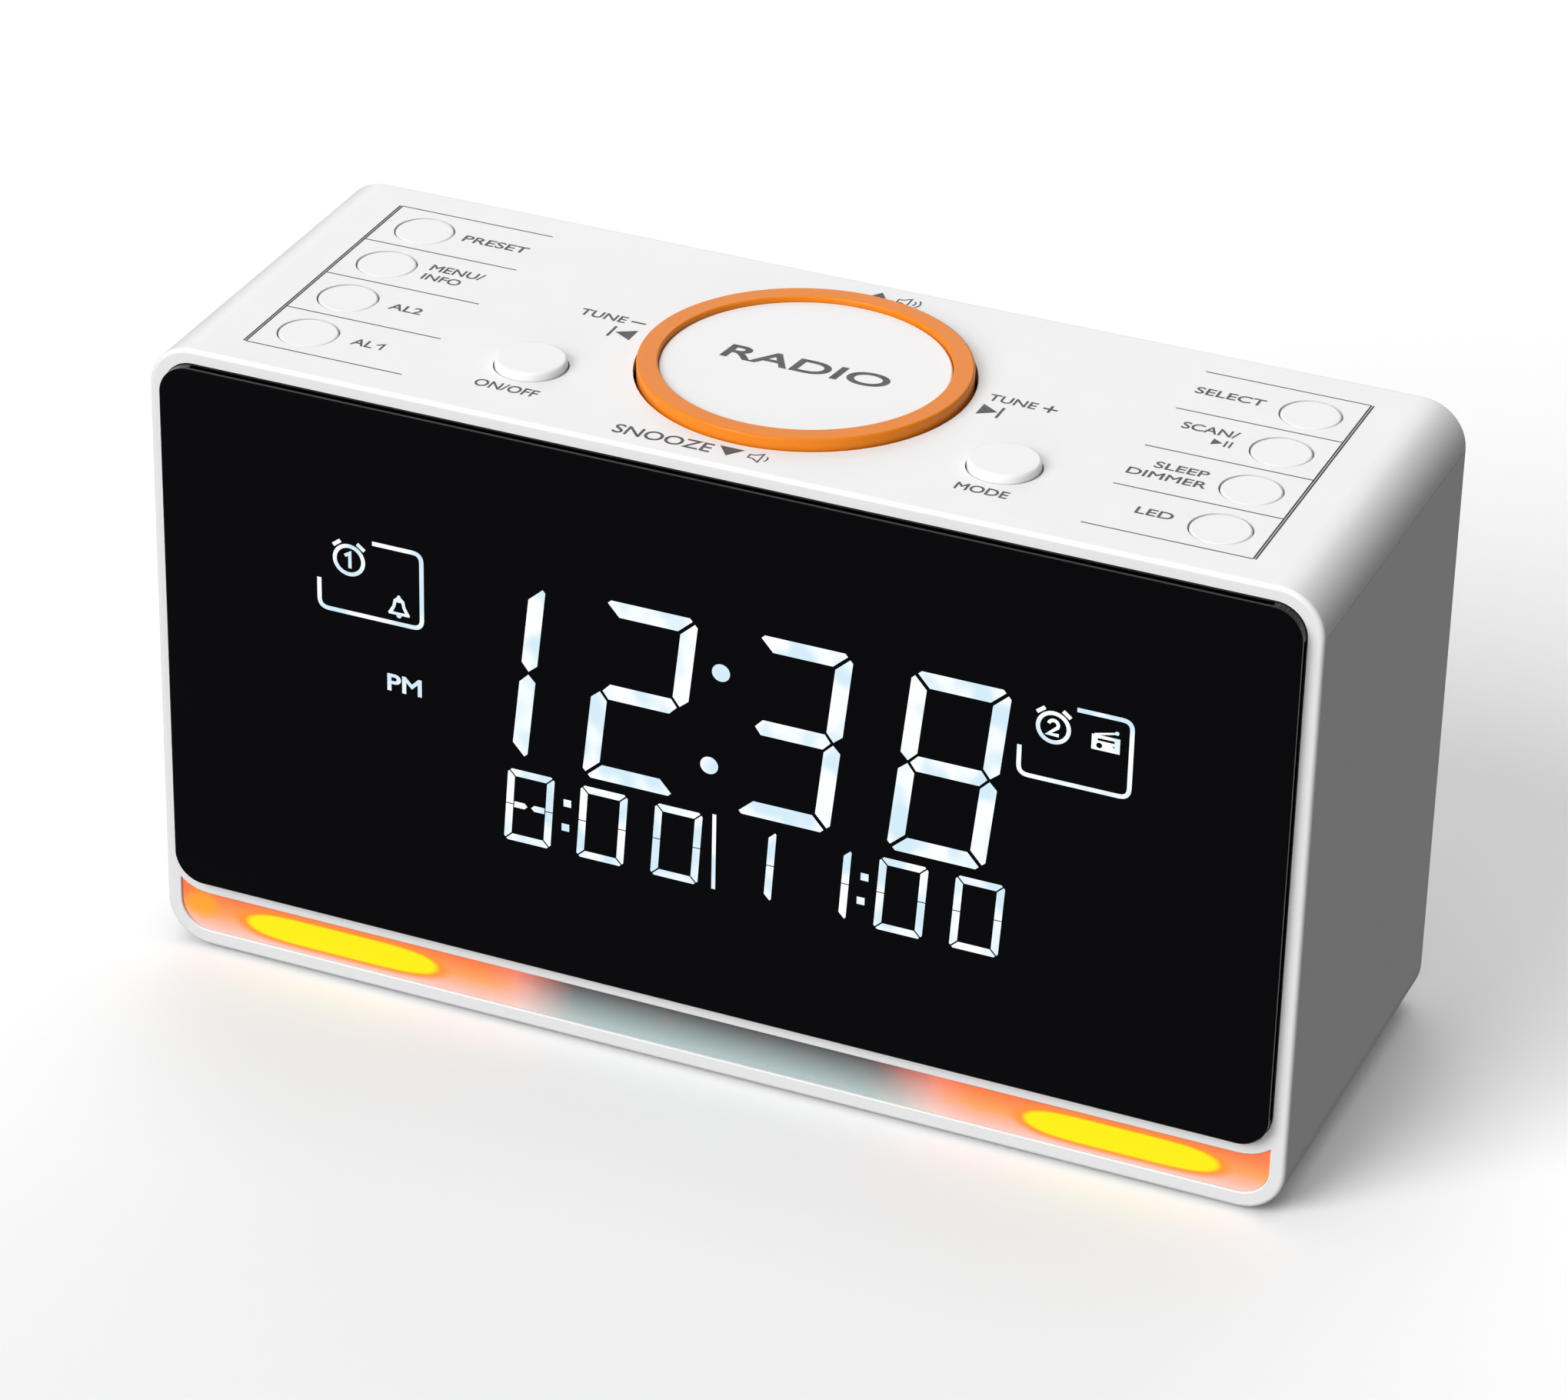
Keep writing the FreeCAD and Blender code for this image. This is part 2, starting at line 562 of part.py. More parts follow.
def make_display():
    seam = 0.15
    sheet_back = front - d.lens_proud + d.lens_sheet
    tray_front = sheet_back + seam
    tray_back = front + d.tray_recess
    seat = tray_back - d.tray_floor

    tray = new_body("lens_carrier")
    pad(tray, "XZ", tray_front, tray_back, lens_outline)
    # the collar behind passes through the bezel window
    pad(tray, "XZ", tray_back, tray_back + 5.8, lambda s: s.rectangle(
        0, lens_up, d.window_width - 0.4, d.window_height - 0.4, as_size(2.8)))
    pocket(tray, "XZ", tray_front, seat, lambda s: lens_outline(s, d.tray_wall))
    pocket(tray, "XZ", seat, tray_back + 5.8, lambda s: s.rectangle(
        0, lens_up, d.window_width - 3.2, d.window_height - 3.2, as_size(1.4)))
    # the ribbon leaves through a notch in the collar
    pocket(tray, "XZ", tray_back + 3, tray_back + 5.8, lambda s: s.rectangle(
        0, lens_up - d.window_height / 2 + 0.9, as_size(17), as_size(2.6)))

    lens = new_body("display_lens")
    pad(lens, "XZ", front - d.lens_proud, sheet_back, lens_outline)
    pad(lens, "XZ", sheet_back, seat, lambda s: lens_outline(s, d.tray_wall + 0.1))
    round_edges(lens, d.lens_bevel, lambda p: near(p.y, front - d.lens_proud), kind="Chamfer")

    panel = new_body("display_panel")
    wide, high = d.window_width - 3.8, d.window_height - 3.8
    pad(panel, "XZ", seat + 0.2, seat + 3.8, lambda s: s.rectangle(0, lens_up, wide, high, as_size(1)))

    board = new_body("display_board")
    pad(board, "XZ", seat + 3.8, seat + 3.8 + d.board_thick, lambda s: s.rectangle(
        0, lens_up, wide, high, as_size(1)))
    # driver chip and the ribbon socket stand on the back of the board
    pad(board, "XZ", seat + 3.8 + d.board_thick, seat + 5 + d.board_thick, lambda s: s.rectangle(
        -30, lens_up, as_size(18), as_size(12), as_size(0.5)))

    ribbon = new_body("display_ribbon")
    film = 0.3
    away = seat + 3.8 + d.board_thick
    deck = main_board_up + d.board_thick
    bend = 3
    pad(ribbon, "YZ", -7, 7, lambda s: s.outline(
        (away, deck + bend + film, bend + film, 1), (away + bend + film, deck), (front + 17, deck),
        (front + 17, deck + film), (away + bend + film, deck + film, bend, -1),
        (away + film, deck + bend + film), (away + film, deck + 14), (away, deck + 14)))


LEDS = [-78 + 12 * number for number in range(14)]


def make_light_bar():
    bar = new_body("light_bar_diffuser")
    pad(bar, "XZ", front + d.bar_recess, front + d.bar_recess + d.bar_thick, bar_outline)
    face = front + 7.5
    keep("light_bar_board", box("light_bar_board_sheet", (-82, face, floor_up + 0.1), (164, 1.2, 6)))
    group("light_bar_leds", [
        box(f"led_{number}", (x - 1.75, face - 1.4, floor_up + 1.8), (3.5, 1.4, 2.8))
        for number, x in enumerate(LEDS)])


# ---------------------------------------------------------------- keys on the top

def make_keys():
    for name, x, y, radius, hole, height in key_places():
        cap = new_body(f"{name}_button")
        flange_top = -(d.collar_depth + 0.2)
        flange_low = flange_top - d.key_flange
        stem_low = -d.switch_drop
        crown = d.knob_round if height.value > 0 else as_size(0.3)
        revolve(cap, lambda s: s.outline(
            (0, stem_low), (d.stem_radius, stem_low), (d.stem_radius, flange_low),
            (hole + 0.6, flange_low), (hole + 0.6, flange_top), (radius, flange_top),
            (radius, height - crown, crown, 1), (radius - crown, height), (0, height)))
        place(cap, x, y, top)
        plunger = new_body(f"{name}_plunger")
        revolve(plunger, lambda s: s.outline(
            (0, 0), (d.plunger_radius, 0), (d.plunger_radius, d.plunger_in + d.plunger_out - 0.2),
            (d.plunger_radius - 0.2, d.plunger_in + d.plunger_out), (0, d.plunger_in + d.plunger_out)))
        place(plunger, x, y, top - d.switch_drop - d.plunger_out - d.plunger_in)


DIAL_SWITCH_REACH = 19


def dial_switch_places():
    reach = DIAL_SWITCH_REACH
    return [(reach, dial_y), (-reach, dial_y), (0, dial_y + reach), (0, dial_y - reach)]


def make_switches():
    """Tact switches: a square case with a round well for the plunger."""
    places = [(x, y) for _, x, y, _, _, _ in key_places()] + dial_switch_places()
    cases = []
    for number, (x, y) in enumerate(places):
        half = d.switch_size / 2
        case = box(f"switch_case_{number}", (as_size(x) - half, as_size(y) - half, board_top),
                   (d.switch_size, d.switch_size, d.switch_height))
        well = rod(f"switch_well_{number}", (x, y, board_top + 1), d.plunger_radius + d.plunger_gap, d.switch_height)
        cases.append(subtract(f"switch_{number}", case, well))
    group("key_switches", cases)
    group("dial_switch_plungers", [
        rod(f"dial_plunger_{number}", (x, y, board_top + d.switch_height - d.plunger_in), d.plunger_radius,
            d.plunger_in + d.plunger_out)
        for number, (x, y) in enumerate(dial_switch_places())])
    board = new_body("key_board")
    pad(board, "XY", board_top - d.board_thick, board_top, lambda s: s.rectangle(
        0, 3.4, as_size(155), as_size(51), as_size(2)))
    for x, y in KEY_BOARD_SCREWS:
        pocket(board, "XY", board_top - d.board_thick, board_top, lambda s: s.circle(x, y, d.screw_radius + 0.2))


# ---------------------------------------------------------------- dial

def make_dial():
    ring = new_body("dial_ring")
    outer, inner, high, low = d.dial_radius, d.dial_inner, d.dial_height, -d.dial_skirt
    revolve(ring, lambda s: s.outline(
        (inner, low), (outer, low), (outer, high - d.dial_round, d.dial_round, 1),
        (outer - d.dial_round, high), (inner + 0.3, high, 0.3, 1), (inner, high - 0.3)))
    place(ring, 0, dial_y, top)

    disc = new_body("dial_disc")
    revolve(disc, lambda s: s.outline(
        (0, d.disc_height - d.disc_thick), (inner - 0.1, d.disc_height - d.disc_thick),
        (inner - 0.1, d.disc_height - 0.3, 0.3, 1), (inner - 0.4, d.disc_height), (0, d.disc_height)))
    place(disc, 0, dial_y, top)

    rocker = new_body("dial_rocker")
    plate_low = low - 2
    revolve(rocker, lambda s: s.outline(
        (0, plate_low), (outer - 0.4, plate_low), (outer - 0.4, low), (18, low),
        (18, d.disc_height - d.disc_thick), (0, d.disc_height - d.disc_thick)))
    for x, y in ((DIAL_SWITCH_REACH, 0), (-DIAL_SWITCH_REACH, 0), (0, DIAL_SWITCH_REACH), (0, -DIAL_SWITCH_REACH)):
        pad(rocker, "XY", plate_low - 1.2, plate_low + 0.2, lambda s: s.circle(x, y, 2))
    # two lugs that hang on the pins of the gimbal
    lug_y, lug_thick = 6.9, 2.6
    for side in (-1, 1):
        pad(rocker, "XY", -d.pivot_drop - 1.6, plate_low + 0.2, lambda s: s.rectangle(
            0, side * lug_y, as_size(5), as_size(lug_thick)))
    bore_end = lug_y + lug_thick / 2 + 0.4
    pocket(rocker, "XZ", -bore_end, bore_end, lambda s: s.circle(0, -d.pivot_drop, d.pin_radius + d.pin_gap))
    place(rocker, 0, dial_y, top)

    gimbal = new_body("dial_gimbal")
    pad(gimbal, "XY", d.gimbal_thick / -2, d.gimbal_thick / 2,
        lambda s: (s.circle(0, 0, d.gimbal_outer), s.circle(0, 0, d.gimbal_inner)))
    for start in (d.gimbal_inner + 0.5, -(d.gimbal_inner + 6.5)):
        pad(gimbal, "YZ", start, start + 6, lambda s: s.circle(0, 0, d.pin_radius))
    pocket(gimbal, "XZ", -(d.gimbal_outer + 1), d.gimbal_outer + 1, lambda s: s.circle(0, 0, d.pin_radius))
    place(gimbal, 0, dial_y, pivot_up)

    pin_length = d.gimbal_outer - 6
    group("rocker_pins", [
        rod("rocker_pin_back", (0, dial_y + 5.8, pivot_up), d.pin_radius, pin_length, BACKWARD),
        rod("rocker_pin_front", (0, dial_y - 5.8 - pin_length, pivot_up), d.pin_radius, pin_length, BACKWARD)])

    brackets = []
    bracket_x, bracket_thick = 14.2, 2.6
    for side, name in ((1, "right"), (-1, "left")):
        block = box(f"bracket_block_{name}", (side * bracket_x - bracket_thick / 2, dial_y - 3, board_top),
                    (bracket_thick, 6, pivot_up + 2 - board_top))
        bore = rod(f"bracket_bore_{name}", (side * bracket_x - 2, dial_y, pivot_up), d.pin_radius + d.pin_gap, 4,
                   RIGHTWARD)
        brackets.append(subtract(f"bracket_{name}", block, bore))
    group("gimbal_brackets", brackets)


# ---------------------------------------------------------------- main electronics

def make_main_board():
    board = new_body("main_board")
    pad(board, "XY", main_board_up, main_board_up + d.board_thick, lambda s: s.rectangle(
        4, 5.6, as_size(156), as_size(43), as_size(2)))
    for x, y in MAIN_BOARD_SCREWS:
        pocket(board, "XY", main_board_up, main_board_up + d.board_thick,
               lambda s: s.circle(x, y, d.screw_radius + 0.2))
    deck = main_board_up + d.board_thick
    group("main_chips", [
        box("chip_processor", (-22, -4, deck), (14, 14, 1.4)),
        box("chip_amplifier", (-46, 8, deck), (8, 6, 1.6)),
        box("chip_memory", (-4, 4, deck), (6, 5, 1.2)),
        box("chip_regulator", (40, -8, deck), (7, 9, 2.4)),
        box("chip_ribbon_socket", (-9, front + 17, deck), (18, 4, 2.2))])
    group("capacitors", [
        rod(f"capacitor_{number}", (x, y, deck), radius, height)
        for number, (x, y, radius, height) in enumerate(
            ((56, -2, 4, 11), (67, -6, 4, 11), (-58, 0, 3.2, 8), (-58, 12, 3.2, 8)))])
    module = new_body("radio_module")
    pad(module, "XY", deck, deck + 3.4, lambda s: s.rectangle(19, 0, as_size(24), as_size(18), as_size(0.8)))
    pocket(module, "XY", deck + 3.1, deck + 3.4, lambda s: [s.rectangle(
        13 + 6 * number, 0, as_size(2), as_size(12), as_size(0.5)) for number in range(3)])

    jack = new_body("dc_jack")
    pad(jack, "XZ", slab_back - 13.6, slab_back, lambda s: s.rectangle(
        d.jack_x, JACK_UP, as_size(9), as_size(11), as_size(0.5)))
    pocket(jack, "XZ", slab_back - 10, slab_back, lambda s: (
        s.circle(d.jack_x, JACK_UP, 3.2), s.circle(d.jack_x, JACK_UP, 1.05)))

    port = new_body("usb_port")
    pad(port, "XZ", slab_back - 14, slab_back, lambda s: s.rectangle(
        d.usb_x, USB_UP, as_size(13.2), as_size(6.2), as_size(0.5)))
    pocket(port, "XZ", slab_back - 10, slab_back, lambda s: (
        s.rectangle(d.usb_x, USB_UP, as_size(12.2), as_size(5.2), as_size(0.3)),
        s.rectangle(d.usb_x, USB_UP + 1, as_size(11.1), as_size(1.9), as_size(0.2))))


# ---------------------------------------------------------------- loudspeaker, turned about its own axis

def make_speaker():
    """Heights run along the speaker's axis, towards the back of the radio; 0 is the flange's inner face."""
    flange_face = slab_back - d.speaker_seat
    flange = 1.5

    def turned(name, draw, lift=0):
        body = new_body(name)
        revolve(body, draw)
        place(body, d.speaker_x, flange_face - flange + lift, d.speaker_up, rotation=BACKWARD)
        return body

    basket = turned("speaker_basket", lambda s: s.outline(
        (d.basket_radius, 0), (12, -10), (8.2, -10), (8.2, -11), (12.4, -11), (d.basket_radius + 1, 0),
        (d.flange_radius - 0.2, 0), (d.flange_radius - 0.2, flange), (d.basket_radius, flange)))
    reach = (d.flange_radius - 2.4) * math.cos(math.radians(45))
    for side in (-1, 1):
        for rise in (-1, 1):
            pocket(basket, "XY", -1, flange, lambda s: s.circle(side * reach, rise * reach, SPEAKER_SHANK + 0.2))
    turned("speaker_magnet", lambda s: s.outline(
        (0, -19), (d.magnet_radius, -19), (d.magnet_radius, -11), (7.4, -11), (7.4, -16), (6.1, -16),
        (6.1, -11), (0, -11)))
    lift = 0.5
    turned("speaker_cone", lambda s: s.outline(
        (0, -3.6), (0, -4.0), (6, -5.6), (6.4, -6.6), (7.1, -6.6), (d.cone_radius, -0.4),
        (d.cone_radius, 0), (7.0, -5.4)), lift)
    turned("voice_coil", lambda s: s.outline((6.5, -13.5), (7.0, -13.5), (7.0, -6.6), (6.5, -6.6)), lift)
    turned("speaker_surround", lambda s: s.outline(
        (d.cone_radius, -0.4, 1.05, -1), (d.basket_radius, -0.4), (d.basket_radius, 0, 1.1, 1),
        (d.cone_radius, 0)), lift)


def make_speaker_wires():
    """Two leads that drop from the basket's terminals to the main board."""
    deck = main_board_up + d.board_thick
    terminal = d.speaker_up - d.basket_radius
    y = slab_back - d.speaker_seat - 4
    group("speaker_wires", [
        rod(f"lead_{number}", (d.speaker_x + 3 * number, y, deck), as_size(0.7), terminal - deck)
        for number in range(2)])


# ---------------------------------------------------------------- screws

def make_screws():
    forward = Rotation(Vector(1, 0, 0), 90)
    screws = [screw(f"bezel_screw_{n}", x, front + BEZEL_BOSS + EAR, z, forward)
              for n, (x, z) in enumerate(BEZEL_SCREWS)]
    screws += [screw(f"back_screw_{n}", x, back - 1.4, z, forward) for n, (x, z) in enumerate(BACK_SCREWS)]
    screws += [screw(f"cover_screw_{n}", x, y, top - COVER_BOSS - EAR, UPRIGHT)
               for n, (x, y) in enumerate(COVER_SCREWS)]
    group("case_screws", screws)
    downward = Rotation(Vector(1, 0, 0), 180)
    screws = [screw(f"key_board_screw_{n}", x, y, board_top - d.board_thick, UPRIGHT)
              for n, (x, y) in enumerate(KEY_BOARD_SCREWS)]
    screws += [screw(f"main_board_screw_{n}", x, y, main_board_up + d.board_thick, downward)
               for n, (x, y) in enumerate(MAIN_BOARD_SCREWS)]
    group("board_screws", screws)
    seat = slab_back - d.speaker_seat - 1.5
    group("speaker_screws", [
        screw(f"speaker_screw_{n}", x, seat, z, BACKWARD, length=as_size(4.4), shank=as_size(SPEAKER_SHANK),
              head=as_size(2.0))
        for n, (x, z) in enumerate(speaker_screw_places())])


# ---------------------------------------------------------------- build, check and write

def check_document():
    """Stop if any feature failed, cut nothing or left a sub-part without a sound solid."""
    for item in doc.Objects:
        if "Invalid" in item.State or "Error" in item.State:
            raise RuntimeError(f"{item.Name} failed: {item.State}")
        if item.TypeId == "PartDesign::Pocket":
            if item.Shape.Volume > item.BaseFeature.Shape.Volume - 1e-3:
                raise RuntimeError(f"{item.Name} cuts nothing")
    for name, item in nodes.items():
        if item.Shape.isNull() or not item.Shape.isValid() or not item.Shape.Solids:
            raise RuntimeError(f"{name} has no sound shape")


make_front_bezel()
make_main_housing()
make_rubber_feet()
make_top_cover()
make_rear_cover()
make_battery_hatch()
make_display()
make_light_bar()
make_keys()
make_switches()
make_dial()
make_main_board()
make_speaker()
make_speaker_wires()
make_screws()
doc.recompute()
check_document()

os.makedirs("parts", exist_ok=True)
for name, item in nodes.items():
    item.Shape.exportStep(f"parts/{name}.step")
    solids = len(item.Shape.Solids)
    print(f"{name}: {solids} solid(s), {item.Shape.Volume:.1f} mm3")
print(len(nodes), "nodes")
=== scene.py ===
"""The looks of a clock radio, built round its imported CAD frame.

Metres throughout, in the frame's own axes: X along the front, Y towards the back, Z up.
Marks are drawn in millimetres. Those of the display are placed sideways from the middle and upwards
from the top of the deck, so their heights are negative. Those of the deck are placed sideways from the
middle and backwards from the front of the case, and the dial's word about the middle of its disc.
"""

import json
import math

import bmesh
import bpy
from mathutils import Matrix, Vector


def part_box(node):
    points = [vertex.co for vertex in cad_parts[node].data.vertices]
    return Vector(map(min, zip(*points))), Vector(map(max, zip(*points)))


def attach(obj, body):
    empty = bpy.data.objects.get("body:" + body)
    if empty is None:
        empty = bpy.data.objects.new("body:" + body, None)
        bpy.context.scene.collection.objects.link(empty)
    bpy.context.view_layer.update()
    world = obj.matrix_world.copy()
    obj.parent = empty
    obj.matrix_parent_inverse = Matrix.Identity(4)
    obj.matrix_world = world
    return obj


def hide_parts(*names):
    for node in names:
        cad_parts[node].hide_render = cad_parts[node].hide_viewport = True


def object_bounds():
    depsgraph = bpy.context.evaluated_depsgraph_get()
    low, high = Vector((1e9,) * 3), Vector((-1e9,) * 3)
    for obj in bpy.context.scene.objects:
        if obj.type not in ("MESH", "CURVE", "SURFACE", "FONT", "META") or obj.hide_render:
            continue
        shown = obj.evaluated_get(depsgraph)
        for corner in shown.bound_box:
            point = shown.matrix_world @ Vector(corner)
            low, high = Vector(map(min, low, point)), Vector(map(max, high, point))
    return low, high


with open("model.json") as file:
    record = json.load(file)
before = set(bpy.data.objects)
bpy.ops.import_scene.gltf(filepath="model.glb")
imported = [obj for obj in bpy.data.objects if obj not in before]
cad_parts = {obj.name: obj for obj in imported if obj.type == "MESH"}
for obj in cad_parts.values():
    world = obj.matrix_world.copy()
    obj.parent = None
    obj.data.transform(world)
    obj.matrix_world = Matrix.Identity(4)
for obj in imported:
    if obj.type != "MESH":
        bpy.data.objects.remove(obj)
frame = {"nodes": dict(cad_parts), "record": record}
cad_low, cad_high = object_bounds()
scene = bpy.context.scene

MM = 0.001
ACROSS = Vector((1, 0, 0))
BACK = Vector((0, 1, 0))
UP = Vector((0, 0, 1))


# ---------------------------------------------------------------- node materials


# most of a noise texture's values lie between these two
NOISE_RANGE = (0.3, 0.7)
# the wave texture turns by this many radians per metre at a scale of 1
WAVE_RADIANS = 20


class Look:
    """A node material: one Principled shader and the textures that feed it."""

    def __init__(self, name, colour, **settings):
        self.material = bpy.data.materials.new(name)
        self.material.use_nodes = True
        self.material.diffuse_color = (*colour, 1)
        self.tree = self.material.node_tree
        self.shader = next(n for n in self.tree.nodes if n.type == "BSDF_PRINCIPLED")
        self.place = self.tree.nodes.new("ShaderNodeTexCoord").outputs["Object"]
        self.set("Base Color", (*colour, 1))
        for setting, value in settings.items():
            self.set(setting.replace("_", " "), value)

    def set(self, socket, value):
        """Gives one of the shader's sockets a number, a colour or another node's output."""
        self.feed(self.shader.inputs[socket], value)

    def feed(self, socket, value):
        """The same, for a socket of any node."""
        if isinstance(value, bpy.types.NodeSocket):
            self.tree.links.new(value, socket)
        else:
            socket.default_value = value

    def calc(self, operation, first, second=0.0):
        node = self.tree.nodes.new("ShaderNodeMath")
        node.operation = operation
        self.feed(node.inputs[0], first)
        self.feed(node.inputs[1], second)
        return node.outputs[0]

    def steps_from(self, value, middle, step):
        """How far value lies from middle, counted in steps."""
        return self.calc("DIVIDE", self.calc("SUBTRACT", value, middle), step)

    def axis(self, letter):
        """One coordinate of the point that is shaded."""
        node = self.tree.nodes.new("ShaderNodeSeparateXYZ")
        self.feed(node.inputs[0], self.place)
        return node.outputs[letter]

    def noise(self, size, detail, stretch=(1, 1, 1)):
        """Cloudy noise whose patches are about size metres across, and longer where stretch is small."""
        spread = self.tree.nodes.new("ShaderNodeMapping")
        spread.inputs["Scale"].default_value = stretch
        self.feed(spread.inputs["Vector"], self.place)
        node = self.tree.nodes.new("ShaderNodeTexNoise")
        node.inputs["Scale"].default_value = 1 / size
        node.inputs["Detail"].default_value = detail
        self.feed(node.inputs["Vector"], spread.outputs[0])
        return node.outputs["Fac"]

    def cells(self, size, feature="F1"):
        """Voronoi cells about size metres across, as the distance to a cell's middle or to its edge."""
        node = self.tree.nodes.new("ShaderNodeTexVoronoi")
        node.feature = feature
        node.inputs["Scale"].default_value = 1 / size
        self.feed(node.inputs["Vector"], self.place)
        return node.outputs["Distance"]

    def bands(self, pitch, direction):
        """Soft stripes, pitch metres apart along an axis."""
        node = self.tree.nodes.new("ShaderNodeTexWave")
        node.bands_direction = direction
        node.inputs["Scale"].default_value = math.tau / (WAVE_RADIANS * pitch)
        self.feed(node.inputs["Vector"], self.place)
        return node.outputs["Fac"]

    def span(self, value, start, end, low=0.0, high=1.0, smooth=False):
        """value, rescaled so that start gives low and end gives high, and held there beyond them."""
        node = self.tree.nodes.new("ShaderNodeMapRange")
        node.interpolation_type = "SMOOTHSTEP" if smooth else "LINEAR"
        self.feed(node.inputs["Value"], value)
        for socket, number in zip(("From Min", "From Max", "To Min", "To Max"), (start, end, low, high)):
            node.inputs[socket].default_value = number
        return node.outputs["Result"]

    def blend(self, share, first, second):
        """A colour that goes from first to second as share goes from 0 to 1."""
        node = self.tree.nodes.new("ShaderNodeMix")
        node.data_type = "RGBA"
        self.feed(node.inputs[0], share)
        # the two colours come after the node's plain and vector sockets
        for socket, colour in zip(node.inputs[6:8], (first, second)):
            self.feed(socket, colour if isinstance(colour, bpy.types.NodeSocket) else (*colour, 1))
        return node.outputs[2]

    def relief(self, height, depth, strength):
        """Raises the surface by height times depth metres, in shading only."""
        node = self.tree.nodes.new("ShaderNodeBump")
        node.inputs["Strength"].default_value = strength
        node.inputs["Distance"].default_value = depth
        self.feed(node.inputs["Height"], height)
        self.set("Normal", node.outputs[0])


def shade(colour, factor):
    return tuple(channel * factor for channel in colour)


def plastic(name, colour, roughness, grain=0.25 * MM, depth=0.004 * MM, drift=0.03, **settings):
    """Injection-moulded plastic: a fine spark-eroded grain, and gloss and tone that drift a little."""
    gloss_drift = 0.05
    look = Look(name, colour, Roughness=roughness, **settings)
    cloud = look.noise(30 * MM, 3)
    look.set("Base Color", look.blend(cloud, shade(colour, 1 - drift), colour))
    gloss = look.noise(9 * MM, 4)
    look.set("Roughness", look.span(gloss, *NOISE_RANGE, roughness - gloss_drift, roughness + gloss_drift))
    look.relief(look.noise(grain, 2), depth, 0.35)
    return look


def metal(name, colour, roughness, stretch=(1, 1, 1)):
    """Bare or plated metal with fine drawing marks that run along the axis where stretch is small."""
    mark_depth, polished, worn = 0.004 * MM, roughness - 0.08, roughness + 0.1
    look = Look(name, colour, Metallic=1.0, Roughness=roughness)
    marks = look.noise(0.6 * MM, 3, stretch)
    look.set("Base Color", look.blend(look.noise(5 * MM, 4), shade(colour, 0.82), colour))
    look.set("Roughness", look.span(marks, *NOISE_RANGE, polished, worn))
    look.relief(marks, mark_depth, 0.4)
    return look


def mirror_glass():
    """Black mirror acrylic, with a trace of polish haze."""
    black, blue_black = (0.0008, 0.0008, 0.0010), (0.0016, 0.0018, 0.0030)
    haze_range, clear, hazy = (0.35, 0.75), 0.035, 0.075
    look = Look("mirror_black", (0.0012, 0.0013, 0.0020), Roughness=0.05, IOR=1.45, Specular_IOR_Level=0.22)
    look.set("Base Color", look.blend(look.noise(40 * MM, 2), black, blue_black))
    look.set("Roughness", look.span(look.noise(12 * MM, 4), *haze_range, clear, hazy))
    return look


def glowing_figures():
    """White light through a segment mask, bluer and brighter in patches as the light guide behind it is."""
    blue_white, white = (0.64, 0.82, 0.93), (0.96, 0.99, 1.0)
    look = Look("lit_figures", (0.02, 0.02, 0.02), Roughness=0.4, Emission_Strength=1.0)
    patch = look.span(look.noise(5.5 * MM, 1, (1, 1, 0.8)), 0.38, 0.60, smooth=True)
    look.set("Emission Color", look.blend(patch, blue_white, white))
    return look


def lamp_core(look, colour, along, aside):
    """Lays one lamp's core over colour: a long yellow oval with an orange rim.

    along and aside are how far a point is from the core's middle, in its half lengths and half heights.
    """
    rim_orange, yellow = (1.0, 0.30, 0.03), (1.0, 0.87, 0.0)
    blunt_ends = look.calc("POWER", look.calc("ABSOLUTE", along), 5.0)
    round_sides = look.calc("POWER", look.calc("ABSOLUTE", aside), 2.0)
    distance = look.calc("ADD", blunt_ends, round_sides)
    rim = look.blend(look.span(distance, 2.3, 1.0, smooth=True), colour, rim_orange)
    return look.blend(look.span(distance, 1.25, 0.75, smooth=True), rim, yellow)


